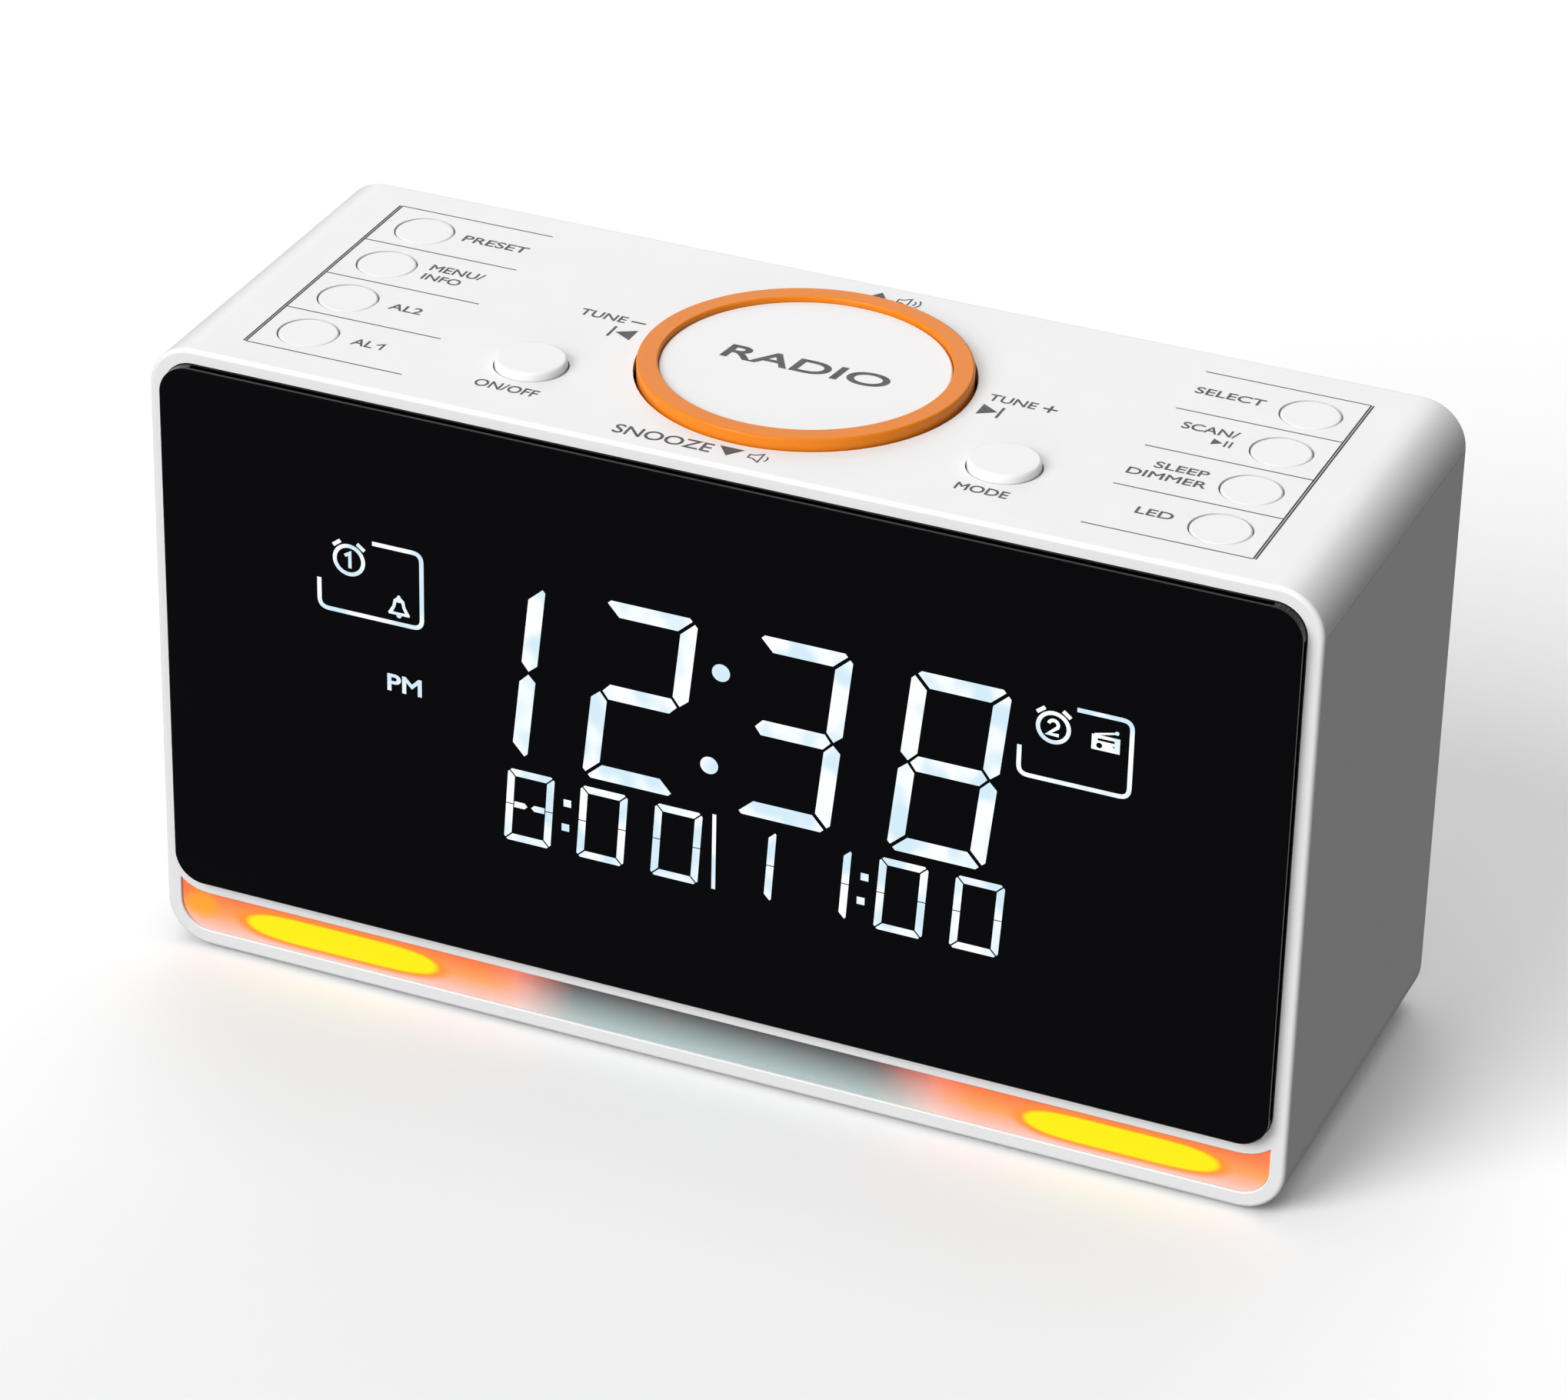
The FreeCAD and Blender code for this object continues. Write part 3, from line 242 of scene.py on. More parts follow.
def light_strip(low, high):
    """The milky strip with the glow of its lamps: yellow cores in orange and pink, grey with painted shade
    where unlit.
    """
    pale_grey, painted_shade_grey = (0.43, 0.53, 0.53), (0.085, 0.085, 0.085)
    pink, orange, red_orange = (0.98, 0.56, 0.48), (1.0, 0.37, 0.11), (1.0, 0.21, 0.065)
    pale_rose, red, spot_orange = (0.95, 0.66, 0.60), (0.95, 0.26, 0.19), (1.0, 0.40, 0.015)
    left_fade, right_fade = (-38 * MM, -20 * MM), (24 * MM, 44 * MM)
    core_height, core_half_height = 0.50, 0.33
    spot_across, spot_height = (-84.2 * MM, 3 * MM), (0.65, 0.42)
    body_share = 0.65

    look = Look("light_strip", (0.6, 0.6, 0.6), Roughness=0.42, Emission_Strength=0.36)
    across = look.axis("X")
    height = look.span(look.axis("Z"), low.z, high.z)
    # painted shade: the unlit grey darkens towards the top, under the white strip above, and is given out as
    # a faint glow
    unlit = look.blend(look.span(height, 0.1, 1.0), pale_grey, painted_shade_grey)
    lower_glow = look.blend(look.span(height, 0.05, 0.5), pink, orange)
    glow = look.blend(look.span(height, 0.5, 0.95), lower_glow, red_orange)
    edge_glow = look.blend(look.span(height, 0.05, 0.9), pale_rose, red)

    # the glow fades towards the middle of the strip, with a mottled edge
    left_glow = look.span(across, *left_fade, 1, 0, smooth=True)
    right_glow = look.span(across, *right_fade, 0, 1, smooth=True)
    mottle = look.span(look.noise(3 * MM, 3), 0, 1, -0.08, 0.08)
    lit = look.calc("ADD", look.calc("MAXIMUM", left_glow, right_glow), mottle)
    colour = look.blend(look.span(lit, 0.0, 0.7), unlit, edge_glow)
    colour = look.blend(look.span(lit, 0.55, 1.0), colour, glow)

    for middle, half_length in ((-60.5 * MM, 16.0 * MM), (65 * MM, 15 * MM)):
        along = look.steps_from(across, middle, half_length)
        aside = look.steps_from(height, core_height, core_half_height)
        colour = lamp_core(look, colour, along, aside)

    # a small spot by the strip's left end
    spot_x = look.steps_from(across, *spot_across)
    spot_z = look.steps_from(height, *spot_height)
    spot = look.calc("ADD", look.calc("MULTIPLY", spot_x, spot_x), look.calc("MULTIPLY", spot_z, spot_z))
    colour = look.blend(look.span(spot, 1.2, 0.1, 0, 0.8, smooth=True), colour, spot_orange)
    # the strip's own colour carries the same glow and painted shade, at body_share of their strength
    look.set("Base Color", look.blend(body_share, (0, 0, 0), colour))
    look.set("Emission Color", colour)
    return look


def dial_paint():
    """The orange ring: satin lacquer with a very fine grain."""
    return plastic("orange_lacquer", (0.77, 0.215, 0.010), 0.32, 0.5 * MM, 0.002 * MM, 0.06,
                   Specular_IOR_Level=0.15, Coat_Weight=0.06, Coat_Roughness=0.12)


def circuit_board():
    """Green solder mask over copper tracks, with specks of bare pads."""
    over_copper, over_board, tinned = (0.03, 0.22, 0.07), (0.008, 0.085, 0.025), (0.70, 0.62, 0.42)
    look = Look("circuit_board", (0.01, 0.10, 0.03), Roughness=0.35)
    off_track = look.span(look.cells(3.2 * MM, "DISTANCE_TO_EDGE"), 0.04, 0.07)
    off_pad = look.span(look.cells(4.5 * MM), 0.10, 0.13)
    mask = look.blend(off_track, over_copper, over_board)
    look.set("Base Color", look.blend(off_pad, tinned, mask))
    look.relief(off_track, 0.02 * MM, 0.5)
    return look


def striped(name, colour, stripe, pitch, direction, **settings):
    """A surface ribbed in two colours."""
    look = Look(name, colour, **settings)
    ribs = look.bands(pitch, direction)
    look.set("Base Color", look.blend(look.span(ribs, 0.35, 0.65), colour, stripe))
    look.relief(ribs, 0.05 * MM, 0.4)
    return look


def paper():
    """Grey-black pulp with fibres that run along Y."""
    look = Look("cone_paper", (0.03, 0.03, 0.03), Roughness=0.9)
    fibres = look.noise(0.5 * MM, 4, (1, 0.2, 1))
    look.set("Base Color", look.blend(fibres, (0.015, 0.015, 0.016), (0.07, 0.068, 0.065)))
    look.relief(fibres, 0.05 * MM, 0.6)
    return look


def lead_insulation():
    """Red and black leads, told apart by where they run."""
    red, black = (0.35, 0.012, 0.012), (0.012, 0.012, 0.012)
    look = Look("lead_insulation", (0.4, 0.02, 0.02), Roughness=0.45)
    side = look.span(look.noise(14 * MM, 0), 0.48, 0.52)
    look.set("Base Color", look.blend(side, red, black))
    look.relief(look.noise(0.4 * MM, 1), 0.01 * MM, 0.3)
    return look


def ink(name, colour):
    """Pad-printed ink, slightly uneven and more matt than the case."""
    look = Look(name, colour, Roughness=0.6)
    look.set("Base Color", look.blend(look.noise(0.35 * MM, 2), shade(colour, 0.8), shade(colour, 1.15)))
    look.set("Roughness", look.span(look.noise(1.5 * MM, 2), *NOISE_RANGE, 0.5, 0.7))
    return look


# the window that shows the light strip ends this far below the lens
LENS_ABOVE_STRIP = 2.75 * MM
strip_low, strip_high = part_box("light_bar_diffuser")
strip_head = Vector((strip_high.x, strip_high.y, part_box("display_lens")[0].z - LENS_ABOVE_STRIP))

SLOT_LOOKS = {
    "white_shell": plastic("white_satin", (0.795, 0.795, 0.795), 0.38, drift=0.012),
    "white_keys": plastic("white_keycap", (0.80, 0.80, 0.80), 0.34, 0.18 * MM, drift=0.012),
    "orange_ring": dial_paint(),
    "mirror_lens": mirror_glass(),
    "black_tray": plastic("black_gloss", (0.03, 0.03, 0.031), 0.25, drift=0.2),
    "diffuser": light_strip(strip_low, strip_head),
    "rubber": plastic("rubber", (0.02, 0.02, 0.021), 0.82, 0.4 * MM, 0.02 * MM, 0.3),
    "display_module": plastic("display_glass", (0.01, 0.012, 0.014), 0.12, drift=0.3),
    "board": circuit_board(),
    "led": plastic("led_resin", (0.85, 0.72, 0.32), 0.25, drift=0.1),
    "ribbon": striped("ribbon", (0.45, 0.20, 0.05), (0.75, 0.42, 0.12), 1.0 * MM, "X", Roughness=0.3),
    "component": plastic("epoxy", (0.014, 0.014, 0.015), 0.5, 0.2 * MM, 0.01 * MM, 0.3),
    "inner_plastic": plastic("inner_plastic", (0.62, 0.62, 0.60), 0.5, drift=0.06),
    "steel": metal("zinc_steel", (0.62, 0.62, 0.60), 0.32),
    "can": metal("aluminium_can", (0.70, 0.71, 0.73), 0.28, (1, 1, 0.1)),
    "shield": metal("tin_plate", (0.66, 0.65, 0.62), 0.24, (0.1, 1, 1)),
    "basket_steel": plastic("painted_steel", (0.03, 0.03, 0.032), 0.42, 0.3 * MM, 0.01 * MM, 0.2),
    "magnet": plastic("ferrite", (0.045, 0.043, 0.042), 0.7, 0.3 * MM, 0.02 * MM, 0.3),
    "cone_paper": paper(),
    "copper": striped("copper_winding", (0.72, 0.30, 0.14), (0.35, 0.12, 0.05), 0.25 * MM, "Y",
                      Metallic=1.0, Roughness=0.3),
    "wire": lead_insulation(),
}
for part in frame["record"]["subparts"]:
    node = frame["nodes"][part["node"]]
    node.data.materials.clear()
    node.data.materials.append(SLOT_LOOKS[part["material_slot"]].material)

GREY_INK = ink("grey_ink", (0.075, 0.075, 0.08)).material
DARK_INK = ink("dark_ink", (0.022, 0.022, 0.024)).material
LIT = glowing_figures().material


# ---------------------------------------------------------------- outlines, in millimetres


# a mitred corner reaches out no further than half the line's width divided by this
MITRE_LIMIT = 0.5


def arc(centre, radius, start, end, steps):
    """Points along an arc from start to end degrees, both included."""
    turns = [math.radians(start + (end - start) * step / steps) for step in range(steps + 1)]
    return [(centre[0] + radius * math.cos(turn), centre[1] + radius * math.sin(turn)) for turn in turns]


def circle(centre, radius, steps=40):
    return arc(centre, radius, 0, 360 - 360 / steps, steps - 1)


def rounded(points, radius):
    """An open line through points, with each corner between its ends rounded."""
    steps = 6
    line = [points[0]]
    for before, corner, after in zip(points, points[1:], points[2:]):
        corner_at = Vector(corner)
        inward = (Vector(before) - corner_at).normalized()
        outward = (Vector(after) - corner_at).normalized()
        for step in range(steps + 1):
            share = step / steps
            pull = radius * ((1 - share) ** 2 * inward + share ** 2 * outward)
            line.append(tuple(corner_at + pull))
    return line + [points[-1]]


def band(points, width):
    """The outline of an open line drawn with a pen of that width."""
    sides = ([], [])
    for index, point in enumerate(points):
        here = Vector(point)
        before = Vector(points[index - 1]) if index else None
        after = Vector(points[index + 1]) if index < len(points) - 1 else None
        arrive = (here - before).normalized() if before else (after - here).normalized()
        leave = (after - here).normalized() if after else arrive
        along = (arrive + leave).normalized()
        reach = width / 2 / max(MITRE_LIMIT, along.dot(arrive))
        normal = Vector((-along.y, along.x)) * reach
        sides[0].append(tuple(here + normal))
        sides[1].append(tuple(here - normal))
    return sides[0] + sides[1][::-1]


def moved(points, centre):
    """Points given about the origin, put round centre."""
    return [(centre[0] + x, centre[1] + y) for x, y in points]


def mirrored(points):
    """The right half of an outline, followed by its reflection in the vertical axis."""
    return points + [(-x, y) for x, y in reversed(points)]


# ---------------------------------------------------------------- pieces made of marks


# in millimetres: how far marks are sunk into their face, which points are one, and what is too thin to keep
MARK_SUNK = -0.02
SAME_POINT = 0.004
TOO_THIN = 0.002


def mesh_of(sheet, name):
    """A finished bmesh as a mesh. The bmesh is used up."""
    mesh = bpy.data.meshes.new(name)
    sheet.to_mesh(mesh)
    sheet.free()
    return mesh


def as_mesh(curve):
    """The filled mesh of a flat curve."""
    holder = bpy.data.objects.new("holder", curve)
    scene.collection.objects.link(holder)
    bpy.context.view_layer.update()
    mesh = bpy.data.meshes.new_from_object(holder)
    bpy.data.objects.remove(holder)
    return mesh


def embolden(mesh, weight):
    """Moves the outline of a flat mesh outward by weight."""
    sheet = bmesh.new()
    sheet.from_mesh(mesh)
    moves = {}
    for vertex in sheet.verts:
        outward = []
        for edge in (e for e in vertex.link_edges if e.is_boundary):
            along = edge.verts[1].co - edge.verts[0].co
            normal = Vector((along.y, -along.x, 0)).normalized()
            inside = edge.link_faces[0].calc_center_median() - edge.verts[0].co
            outward.append(-normal if normal.dot(inside) > 0 else normal)
        if len(outward) == 2:
            between = (outward[0] + outward[1]).normalized()
            moves[vertex] = between * weight / max(MITRE_LIMIT, between.dot(outward[0]))
    for vertex, move in moves.items():
        vertex.co += move
    sheet.to_mesh(mesh)
    sheet.free()


class Marks:
    """Flat marks on one face of the object. They are gathered, then become one thin solid piece."""

    def __init__(self, origin, across, up):
        self.origin = origin
        self.across = across
        self.up = up
        self.sheet = bmesh.new()

    def area(self, *outlines):
        """A filled shape. The outlines after the first are holes in it."""
        curve = bpy.data.curves.new("outline", "CURVE")
        curve.dimensions = "2D"
        curve.fill_mode = "FRONT"
        for outline in outlines:
            spline = curve.splines.new("POLY")
            spline.points.add(len(outline) - 1)
            spline.use_cyclic_u = True
            for point, (x, y) in zip(spline.points, outline):
                point.co = (x, y, 0, 1)
        self.sheet.from_mesh(as_mesh(curve))

    def line(self, points, width):
        self.area(band(points, width))

    def ring(self, centre, radius, width):
        self.area(circle(centre, radius + width / 2), circle(centre, radius - width / 2))

    def words(self, text, low, high, weight, slant=0.0):
        """A word, stretched to fill the rectangle from low to high, then made bolder by weight each way."""
        curve = bpy.data.curves.new("word", "FONT")
        curve.body = text
        curve.fill_mode = "FRONT"
        curve.resolution_u = 6
        mesh = as_mesh(curve)
        least = Vector(min(v.co[axis] for v in mesh.vertices) for axis in range(2))
        most = Vector(max(v.co[axis] for v in mesh.vertices) for axis in range(2))
        for vertex in mesh.vertices:
            share = Vector(((vertex.co.x - least.x) / (most.x - least.x),
                            (vertex.co.y - least.y) / (most.y - least.y)))
            y = low[1] + share.y * (high[1] - low[1])
            x = low[0] + share.x * (high[0] - low[0]) + slant * (y - low[1])
            vertex.co = (x, y, 0)
        embolden(mesh, weight)
        self.sheet.from_mesh(mesh)

    def piece(self, name, body, material, proud):
        """The marks as one object that rides on a body and stands proud millimetres off the face."""
        bmesh.ops.remove_doubles(self.sheet, verts=self.sheet.verts, dist=SAME_POINT)
        bmesh.ops.dissolve_degenerate(self.sheet, edges=self.sheet.edges, dist=TOO_THIN)
        bmesh.ops.recalc_face_normals(self.sheet, faces=self.sheet.faces)
        raised = bmesh.ops.extrude_face_region(self.sheet, geom=self.sheet.faces[:])
        top = {vertex for vertex in raised["geom"] if isinstance(vertex, bmesh.types.BMVert)}
        outward = self.across.cross(self.up)
        for vertex in self.sheet.verts:
            depth = proud if vertex in top else MARK_SUNK
            flat = self.across * vertex.co.x + self.up * vertex.co.y
            vertex.co = self.origin + (flat + outward * depth) * MM
        bmesh.ops.recalc_face_normals(self.sheet, faces=self.sheet.faces)
        add_piece(name, mesh_of(self.sheet, name), body, material)


def add_piece(name, mesh, body, material):
    """A mesh as an object of one material that moves with a body."""
    mesh.materials.append(material)
    piece = bpy.data.objects.new(name, mesh)
    scene.collection.objects.link(piece)
    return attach(piece, body)


# ---------------------------------------------------------------- the mirror lens


LENS_CORNER = 4.7 * MM
LENS_CHAMFER = 0.25 * MM
FIGURE_DEPTH = 0.03 * MM
lens_low, lens_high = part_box("display_lens")
lens_face = lens_low.y + FIGURE_DEPTH


def lens_outline(inset):
    """The lens's rounded rectangle in X and Z, drawn in by inset."""
    left, right = lens_low.x + LENS_CORNER, lens_high.x - LENS_CORNER
    lower, upper = lens_low.z + LENS_CORNER, lens_high.z - LENS_CORNER
    outline = []
    for quarter, centre in enumerate(((right, upper), (left, upper), (left, lower), (right, lower))):
        outline += arc(centre, LENS_CORNER - inset, 90 * quarter, 90 * quarter + 90, 16)
    return outline


def make_lens():
    """The mirror lens with its polished chamfer, its face set back by the depth of the lit figures."""
    shell = bmesh.new()
    rings = []
    for inset, y in ((0, lens_high.y), (0, lens_face + LENS_CHAMFER), (LENS_CHAMFER, lens_face)):
        rings.append([shell.verts.new((x, y, z)) for x, z in lens_outline(inset)])
    for outer, inner in zip(rings, rings[1:]):
        for index in range(len(outer)):
            follow = (index + 1) % len(outer)
            shell.faces.new((outer[index], outer[follow], inner[follow], inner[index]))
    shell.faces.new(rings[0])
    shell.faces.new(rings[-1])
    bmesh.ops.recalc_face_normals(shell, faces=shell.faces)
    mesh = mesh_of(shell, "mirror_lens")
    lens = add_piece("mirror_lens", mesh, "cabinet", SLOT_LOOKS["mirror_lens"].material)
    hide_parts("display_lens")


# ---------------------------------------------------------------- the lit figures


deck_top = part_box("top_cover")[1].z
deck_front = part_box("front_bezel")[0].y

SEGMENTS = {"0": "abcdef", "1": "bc", "2": "abged", "3": "abgcd", "8": "abcdefg"}


class Digits:
    """One size of seven-segment figure. top, middle and bottom are the heights of its level strokes."""

    # shares of half a stroke: what an outer corner loses, where a point starts, and how thick a split bar is
    CORNER_CUT = 0.75
    POINT_START = 0.8
    SPLIT_BAR = 0.85
    # shares of the gap: how far an upright's tip stays off the middle row, and the bar's shoulders draw back
    UPRIGHT_TIP = 0.6
    BAR_SHOULDER = 0.5
    # half the space between the two halves of a split bar
    SPLIT_SPACE = 0.3

    def __init__(self, top, middle, bottom, width, stroke, gap, slant, split_middle=False):
        self.rows = (top, middle, bottom)
        self.width = width
        self.half = stroke / 2
        self.gap = gap
        self.slant = slant
        self.split_middle = split_middle

    def lean(self, points, right):
        """Slants an outline about the middle row and puts its right-hand strokes at right."""
        middle = self.rows[1]
        return [(right + x + self.slant * (z - middle), z) for x, z in points]

    def upright(self, side, corner_row, upper):
        """A vertical segment: first its end by the corner, then its end by the middle row."""
        half, gap = self.half, self.gap
        turn = 1 if upper else -1
        middle = self.rows[1]
        x = 0 if side > 0 else -self.width
        chamfer = half * self.CORNER_CUT
        far = [
            (x - side * half, corner_row - turn * (half + gap)),
            (x + side * (half - chamfer / 2), corner_row + turn * (half - chamfer / 2 - gap)),
            (x + side * half, corner_row + turn * (half - chamfer - gap)),
        ]
        if self.split_middle:
            near = [(x + side * half, middle + turn * gap / 2), (x - side * half, middle + turn * gap / 2)]
        else:
            near = [
                (x + side * half, middle + turn * (half * self.POINT_START + gap)),
                (x, middle + turn * gap * self.UPRIGHT_TIP),
                (x - side * half, middle + turn * (half + gap)),
            ]
        return far + near

    def level(self, row, upper):
        """The top or bottom segment."""
        half, gap = self.half, self.gap
        turn = 1 if upper else -1
        chamfer = half * self.CORNER_CUT
        right = [
            (-half - gap, row - turn * half),
            (half - chamfer / 2 - gap, row + turn * (half - chamfer / 2)),
            (half - chamfer - gap, row + turn * half),
        ]
        left = [(-self.width - x, z) for x, z in reversed(right)]
        return right + left

    def bar(self):
        """The middle segment, as one or two outlines."""
        half, gap, middle = self.half, self.gap, self.rows[1]
        if not self.split_middle:
            shoulder = -half - gap * self.BAR_SHOULDER
            right = [(shoulder, middle - half), (-gap, middle), (shoulder, middle + half)]
            return [right + [(-self.width - x, z) for x, z in reversed(right)]]
        outer = -half - gap
        half = half * self.SPLIT_BAR
        inner = -self.width / 2 + self.SPLIT_SPACE
        right = [(outer, middle - half), (inner + half, middle - half), (inner, middle),
                 (inner + half, middle + half), (outer, middle + half)]
        return [right, [(-self.width - x, z) for x, z in right]]

    def outlines(self, figure, right):
        """The outlines of one figure whose right-hand strokes stand at right."""
        top, _, bottom = self.rows
        shapes = {
            "a": [self.level(top, True)],
            "b": [self.upright(1, top, True)],
            "c": [self.upright(1, bottom, False)],
            "d": [self.level(bottom, False)],
            "e": [self.upright(-1, bottom, False)],
            "f": [self.upright(-1, top, True)],
            "g": self.bar(),
        }
        return [self.lean(shape, right) for name in SEGMENTS[figure] for shape in shapes[name]]


# the display sits a little to the left of the middle and above its nominal height
DISPLAY_ASIDE = Vector((-0.17, 0, 0.1)) * MM


def on_lens():
    return Marks(Vector((0, lens_face, deck_top)) + DISPLAY_ASIDE, ACROSS, UP)


def finish_lit(marks, name):
    marks.piece(name, "cabinet", LIT, FIGURE_DEPTH / MM)


def make_time():
    """The hour and minutes in large figures."""
    digits = Digits(top=-25.65, middle=-39.45, bottom=-53.15, width=12.5, stroke=2.5, gap=0.42, slant=0.104)
    marks = on_lens()
    first_right, pitch = -28.05, 23.87
    for number, figure in enumerate("1238"):
        for outline in digits.outlines(figure, first_right + number * pitch):
            marks.area(outline)
    dot_radius = 1.4
    for centre in ((2.2, -32.1), (0.6, -47.7)):
        marks.area(circle(centre, dot_radius))
    finish_lit(marks, "lit_time")


def make_alarm_times():
    """The two alarm times in small figures, with the bar between them."""
    digits = Digits(top=-56.6, middle=-62.0, bottom=-67.65, width=6.35, stroke=1.15, gap=0.17, slant=0.06,
                    split_middle=True)
    marks = on_lens()
    for figure, right in (("8", -24.75), ("0", -13.05), ("0", -1.2), ("1", 10.4), ("1", 22.1), ("0", 33.95),
                          ("0", 45.65)):
        for outline in digits.outlines(figure, right):
            marks.area(outline)
    divider, divider_width = [(1.55, -55.65), (1.55, -68.2)], 0.6
    marks.line(divider, divider_width)
    half = 0.6
    for x, z in ((-21.8, -59.75), (-22.1, -63.9), (25.1, -60.1), (24.6, -64.2)):
        marks.area([(x - half, z - half), (x + half, z - half), (x + half, z + half), (x - half, z + half)])
    finish_lit(marks, "lit_alarm_times")


def alarm_clock(marks, centre, figure):
    """A round clock with two bells. figure is its number, as the line of a pen about the clock's middle."""
    face_radius, face_stroke = 2.3, 0.62
    bell_reach, bell_half_length, bell_stroke = 3.15, 0.75, 0.6
    figure_stroke = 0.52
    marks.ring(centre, face_radius, face_stroke)
    for turn in (52, 128):
        tilt = math.radians(turn)
        bell = (bell_reach * math.cos(tilt), bell_reach * math.sin(tilt))
        along = (math.sin(tilt) * bell_half_length, -math.cos(tilt) * bell_half_length)
        ends = [(bell[0] - along[0], bell[1] - along[1]), (bell[0] + along[0], bell[1] + along[1])]
        marks.line(moved(ends, centre), bell_stroke)
    marks.line(moved(figure, centre), figure_stroke)


def open_frame(marks, path):
    corner, stroke = 1.5, 0.68
    marks.line(rounded(path, corner), stroke)


def make_first_alarm_icons():
    """The first alarm: an open frame with a clock and a bell, and the afternoon sign below it."""
    marks = on_lens()
    open_frame(marks, [(-53.0, -24.0), (-45.1, -24.0), (-45.1, -36.3), (-61.7, -36.3), (-61.7, -31.5)])
    one = [(-0.65, 0.65), (0.15, 1.15), (0.15, -1.3)]
    alarm_clock(marks, (-56.8, -27.6), one)
    bell = mirrored([(0.35, 1.75), (0.85, 1.3), (1.05, 0.3), (1.75, -0.9), (1.65, -1.15)])
    hollow = mirrored([(0.4, 0.95), (0.6, 0.1), (1.0, -0.7)])
    bell_at = (-48.8, -33.7)
    marks.area(moved(bell, bell_at), moved(hollow, bell_at))
    knob, clapper = circle((0, 1.85), 0.28, 12), arc((0, -1.2), 0.42, 180, 360, 8)
    marks.area(moved(knob, bell_at))
    marks.area(moved(clapper, bell_at))
    marks.words("PM", (-50.75, -47.65), (-45.35, -45.0), 0.09)
    finish_lit(marks, "lit_first_alarm_icons")


def make_second_alarm_icons():
    """The second alarm: an open frame with a clock and a radio."""
    marks = on_lens()
    open_frame(marks, [(56.0, -24.9), (64.2, -24.9), (64.2, -37.1), (47.7, -37.1), (47.7, -32.5)])
    two = arc((0, 0.45), 0.72, 170, -30, 8) + [(-0.75, -1.1), (0.85, -1.1)]
    alarm_clock(marks, (52.6, -28.6), two)
    radio_at = (60.4, -29.0)
    body = [(-2.1, -1.5), (2.1, -1.5), (2.1, 0.9), (-2.1, 0.9)]
    slot = [(-1.2, 0.0), (1.3, 0.0), (1.3, 0.4), (-1.2, 0.4)]
    loudspeaker_hole, knob_hole = circle((-0.95, -0.75), 0.45, 16), circle((1.2, -0.55), 0.14, 8)
    aerial, aerial_width, aerial_tip = [(-1.7, 0.9), (1.5, 1.7)], 0.32, circle((1.6, 1.75), 0.32, 12)
    marks.area(*(moved(outline, radio_at) for outline in (body, slot, loudspeaker_hole, knob_hole)))
    marks.line(moved(aerial, radio_at), aerial_width)
    marks.area(moved(aerial_tip, radio_at))
    finish_lit(marks, "lit_second_alarm_icons")


# ---------------------------------------------------------------- print on the deck


INK_PROUD = 0.02


def on_deck():
    return Marks(Vector((0, deck_front, deck_top)), ACROSS, BACK)


def make_key_lines():
    """The ruled lines round the four keys at each end of the deck."""
    columns = on_deck()
    rows = on_deck()
    first_row, last_row, row_count, row_width = 6.1, 57.0, 5, 0.24
    outer, inner, row_start = 77.4, 52.1, 77.15
    # a column line is two strokes with a hairline of the deck between them
    half_apart, stroke = 0.18, 0.26
    for side in (-1, 1):
        for x in (outer - half_apart, outer + half_apart):
            columns.line([(side * x, first_row), (side * x, last_row)], stroke)
        for row in range(row_count):
            y = first_row + (last_row - first_row) * row / (row_count - 1)
            rows.line([(side * row_start, y), (side * inner, y)], row_width)
    columns.piece("key_column_lines", "cabinet", DARK_INK, INK_PROUD)
    rows.piece("key_row_lines", "cabinet", GREY_INK, INK_PROUD)


def make_key_words():
    """What each key does, printed beside it."""
    marks = on_deck()
    weight = 0.045
    for text, left, right, front, back in (
        ("PRESET", -63.9, -53.4, 49.9, 51.9),
        ("MENU/", -63.8, -55.3, 38.7, 40.7),
        ("INFO", -63.7, -57.6, 35.6, 37.5),
        ("AL2", -63.5, -58.4, 24.5, 26.4),
        ("AL", -63.2, -59.9, 11.7, 13.7),
        ("SELECT", 52.8, 63.2, 50.0, 52.0),
        ("SCAN/", 54.8, 63.2, 38.8, 40.8),
        ("SLEEP", 55.5, 63.4, 25.7, 27.6),
        ("DIMMER", 52.5, 64.2, 22.5, 24.4),
        ("LED", 57.8, 63.2, 11.8, 13.7),
        ("ON/OFF", -41.6, -31.8, 7.7, 9.8),
        ("MODE", 32.5, 40.3, 7.8, 9.8),
        ("TUNE", -37.6, -30.3, 35.0, 37.0),
        ("TUNE", 26.8, 34.0, 35.0, 37.0),
        ("SNOOZE", -17.6, -2.6, 2.9, 5.5),
    ):
        marks.words(text, (left, front), (right, back), weight)
    # the 1 of AL1, drawn as a pen's line because the font's own 1 is a plain bar
    one, one_width = [(-59.5, 12.95), (-58.5, 13.6), (-58.5, 11.7)], 0.34
    marks.line(one, one_width)
    marks.piece("key_words", "cabinet", GREY_INK, INK_PROUD)


def arrow(tip, base_middle, half_width):
    """The outline of a triangle, from its tip and the middle of its base."""
    base = Vector(base_middle)
    along = (Vector(tip) - base).normalized()
    side = Vector((-along.y, along.x)) * half_width
    return [tip, tuple(base + side), tuple(base - side)]


def loudspeaker(marks, centre, waves):
    """A small outlined loudspeaker with sound waves to its right."""
    first_wave, wave_pitch, half_turn, stroke = 1.0, 0.75, 42, 0.26
    cone = [(-1.7, -0.62), (-0.9, -0.62), (0.35, -1.55), (0.35, 1.55), (-0.9, 0.62), (-1.7, 0.62)]
    inner = [(-1.44, -0.36), (-0.8, -0.36), (0.09, -1.03), (0.09, 1.03), (-0.8, 0.36), (-1.44, 0.36)]
    marks.area(moved(cone, centre), moved(inner, centre))
    for wave in range(waves):
        path = arc((0.2, 0), first_wave + wave_pitch * wave, -half_turn, half_turn, 8)
        marks.line(moved(path, centre), stroke)


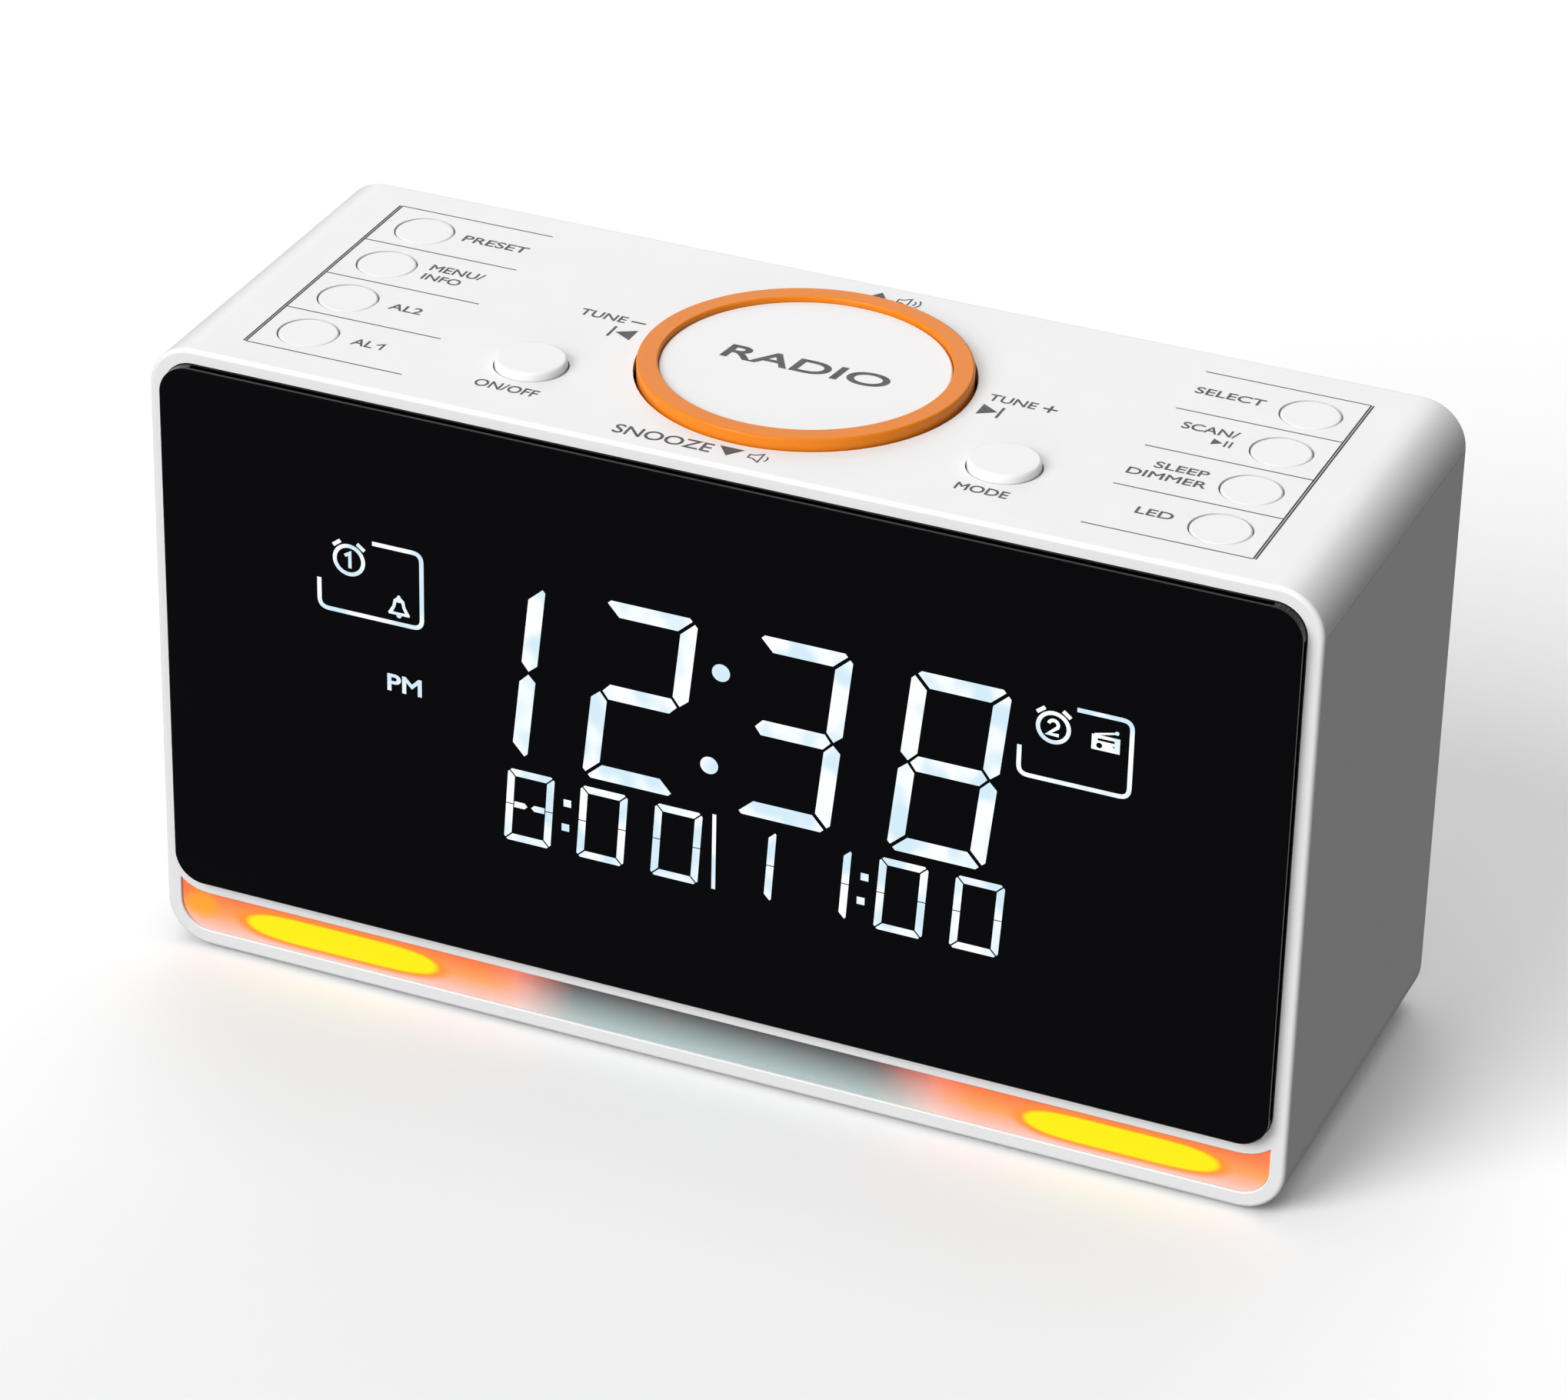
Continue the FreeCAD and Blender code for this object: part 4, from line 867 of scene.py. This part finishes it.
def make_symbols():
    """Skip, minus, plus, play and pause, quieter and louder."""
    marks = on_deck()
    stroke = 0.42
    skip_row, half_height = 31.9, 1.7
    for bar, tip, base in ((-30.8, -30.2, -27.3), (30.0, 29.6, 26.9)):
        marks.line([(bar, skip_row - half_height), (bar, skip_row + half_height)], stroke)
        marks.area(arrow((tip, skip_row), (base, skip_row), half_height))
    # the plus's upright is two strokes, one on each side of its level stroke
    sign_row, plus_x = 36.0, 36.1
    for start, end in ((-29.5, -27.2), (35.0, 37.2)):
        marks.line([(start, sign_row), (end, sign_row)], stroke)
    for start, end in ((34.9, 35.79), (36.21, 37.1)):
        marks.line([(plus_x, start), (plus_x, end)], stroke)
    play_row, play_half, pause_stroke = 36.65, 0.95, 0.32
    marks.area(arrow((61.9, play_row), (60.3, play_row), play_half))
    for x in (62.35, 63.1):
        marks.line([(x, play_row - play_half), (x, play_row + play_half)], pause_stroke)
    volume_half = 1.9
    marks.area(arrow((0, 3.1), (0, 5.6), volume_half))
    loudspeaker(marks, (4.6, 4.4), waves=1)
    marks.area(arrow((0, 60.8), (0, 58.1), volume_half))
    loudspeaker(marks, (4.6, 59.3), waves=2)
    marks.piece("deck_symbols", "cabinet", GREY_INK, INK_PROUD)


def make_dial_word():
    """A plain word on the dial's disc."""
    disc_low, disc_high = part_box("dial_disc")
    middle = (disc_low + disc_high) / 2
    marks = Marks(Vector((middle.x, middle.y, disc_high.z)), ACROSS, BACK)
    half_length, half_height = 12.6, 2.0
    marks.words("RADIO", (-half_length, -half_height), (half_length, half_height), weight=0.14, slant=0.12)
    marks.piece("dial_word", "dial", GREY_INK, INK_PROUD)


make_lens()
make_time()
make_alarm_times()
make_first_alarm_icons()
make_second_alarm_icons()
make_key_lines()
make_key_words()
make_symbols()
make_dial_word()


# ---------------------------------------------------------------- floor, light and camera


FLOOR_RADIUS = 6.0


def stage_piece(mesh, look):
    """A surface round the object that throws no light on it and isn't mirrored in it."""
    mesh.materials.append(look.material)
    piece = bpy.data.objects.new(mesh.name, mesh)
    scene.collection.objects.link(piece)
    piece.visible_diffuse = False
    piece.visible_glossy = False
    return piece


def make_floor():
    """A pale floor with painted shade towards the front, lit by the lights but throwing no light back on the
    object.
    """
    painted_shade_tone, far_tone = (0.83, 0.83, 0.83), (0.98, 0.98, 0.98)
    near_edge, far_edge = -0.25, 0.02
    disc = bmesh.new()
    bmesh.ops.create_circle(disc, cap_ends=True, radius=FLOOR_RADIUS, segments=96)
    look = Look("pale_floor", (0.97, 0.97, 0.97), Roughness=0.9)
    # painted shade: the floor darkens from far_tone towards the front
    far = look.span(look.axis("Y"), near_edge, far_edge, smooth=True)
    unevenness = look.span(look.noise(0.5, 2), 0, 1, 0.9, 1.0)
    look.set("Base Color", look.blend(look.calc("MULTIPLY", far, unevenness), painted_shade_tone, far_tone))
    floor = stage_piece(mesh_of(disc, "floor"), look)


def make_backdrop():
    """A pale dome, seen only behind the floor's edge."""
    dome = bmesh.new()
    bmesh.ops.create_uvsphere(dome, u_segments=48, v_segments=24, radius=FLOOR_RADIUS)
    look = Look("pale_backdrop", (0, 0, 0), Roughness=1.0, Emission_Strength=1.0)
    look.set("Emission Color", look.blend(look.noise(3.0, 1), (0.93, 0.93, 0.93), (0.96, 0.96, 0.96)))
    backdrop = stage_piece(mesh_of(dome, "backdrop"), look)
    backdrop.visible_shadow = False


ROOM_GREY = (0.150, 0.150, 0.152)
# each light's direction from the object, its strength and how wide it looks in degrees
SOFTBOXES = {
    "key_light": ((-0.38, -0.74, 0.55), 0.82, 38),
    "back_light": ((-0.30, 0.80, 0.50), 0.22, 50),
    "overhead_light": ((0, 0, 1), 0.34, 60),
    "front_light": ((0, -1, 0.06), 0.31, 16),
}


def add_softbox(name, towards, strength, spread):
    """A distant soft light. A strength of 1 lights a white face that looks straight at it to full white."""
    light = bpy.data.lights.new(name, "SUN")
    light.energy = strength * math.pi
    light.angle = math.radians(spread)
    lamp = bpy.data.objects.new(name, light)
    lamp.rotation_mode = "QUATERNION"
    lamp.rotation_quaternion = Vector(towards).to_track_quat("Z", "Y")
    scene.collection.objects.link(lamp)


def make_lights():
    """Even light from the room, and four softboxes."""
    scene.view_settings.view_transform = "Standard"
    world = bpy.data.worlds.new("studio")
    world.use_nodes = True
    room = world.node_tree.nodes["Background"]
    room.inputs["Color"].default_value = (*ROOM_GREY, 1)
    scene.world = world
    for name, (towards, strength, spread) in SOFTBOXES.items():
        add_softbox(name, towards, strength, spread)


# the lens and the sensor are in millimetres
CAMERA_AZIMUTH = math.radians(22.619)
CAMERA_ELEVATION = math.radians(29.763)
CAMERA_ROLL = math.radians(1.336)
CAMERA_DISTANCE = 0.8801
CAMERA_LENS = 137.48
SENSOR_WIDTH = 36
VIEW_REACH = 20
AIM_BESIDE_MIDDLE = Vector((1.06, -6.87, 0.0)) * MM


def make_camera():
    """A long lens above and to the right of the front, with a slight roll."""
    ahead = Vector((-math.sin(CAMERA_AZIMUTH) * math.cos(CAMERA_ELEVATION),
                    math.cos(CAMERA_AZIMUTH) * math.cos(CAMERA_ELEVATION),
                    -math.sin(CAMERA_ELEVATION)))
    level = ahead.cross(UP).normalized()
    upright = level.cross(ahead)
    right = math.cos(CAMERA_ROLL) * level + math.sin(CAMERA_ROLL) * upright
    top = math.cos(CAMERA_ROLL) * upright - math.sin(CAMERA_ROLL) * level
    data = bpy.data.cameras.new("camera")
    data.lens = CAMERA_LENS
    data.sensor_width = SENSOR_WIDTH
    data.clip_end = VIEW_REACH
    camera = bpy.data.objects.new("camera", data)
    aim = (cad_low + cad_high) / 2 + AIM_BESIDE_MIDDLE
    turn = Matrix((right, top, -ahead)).transposed().to_4x4()
    camera.matrix_world = Matrix.Translation(aim - ahead * CAMERA_DISTANCE) @ turn
    scene.collection.objects.link(camera)
    scene.camera = camera


make_floor()
make_backdrop()
make_lights()
make_camera()
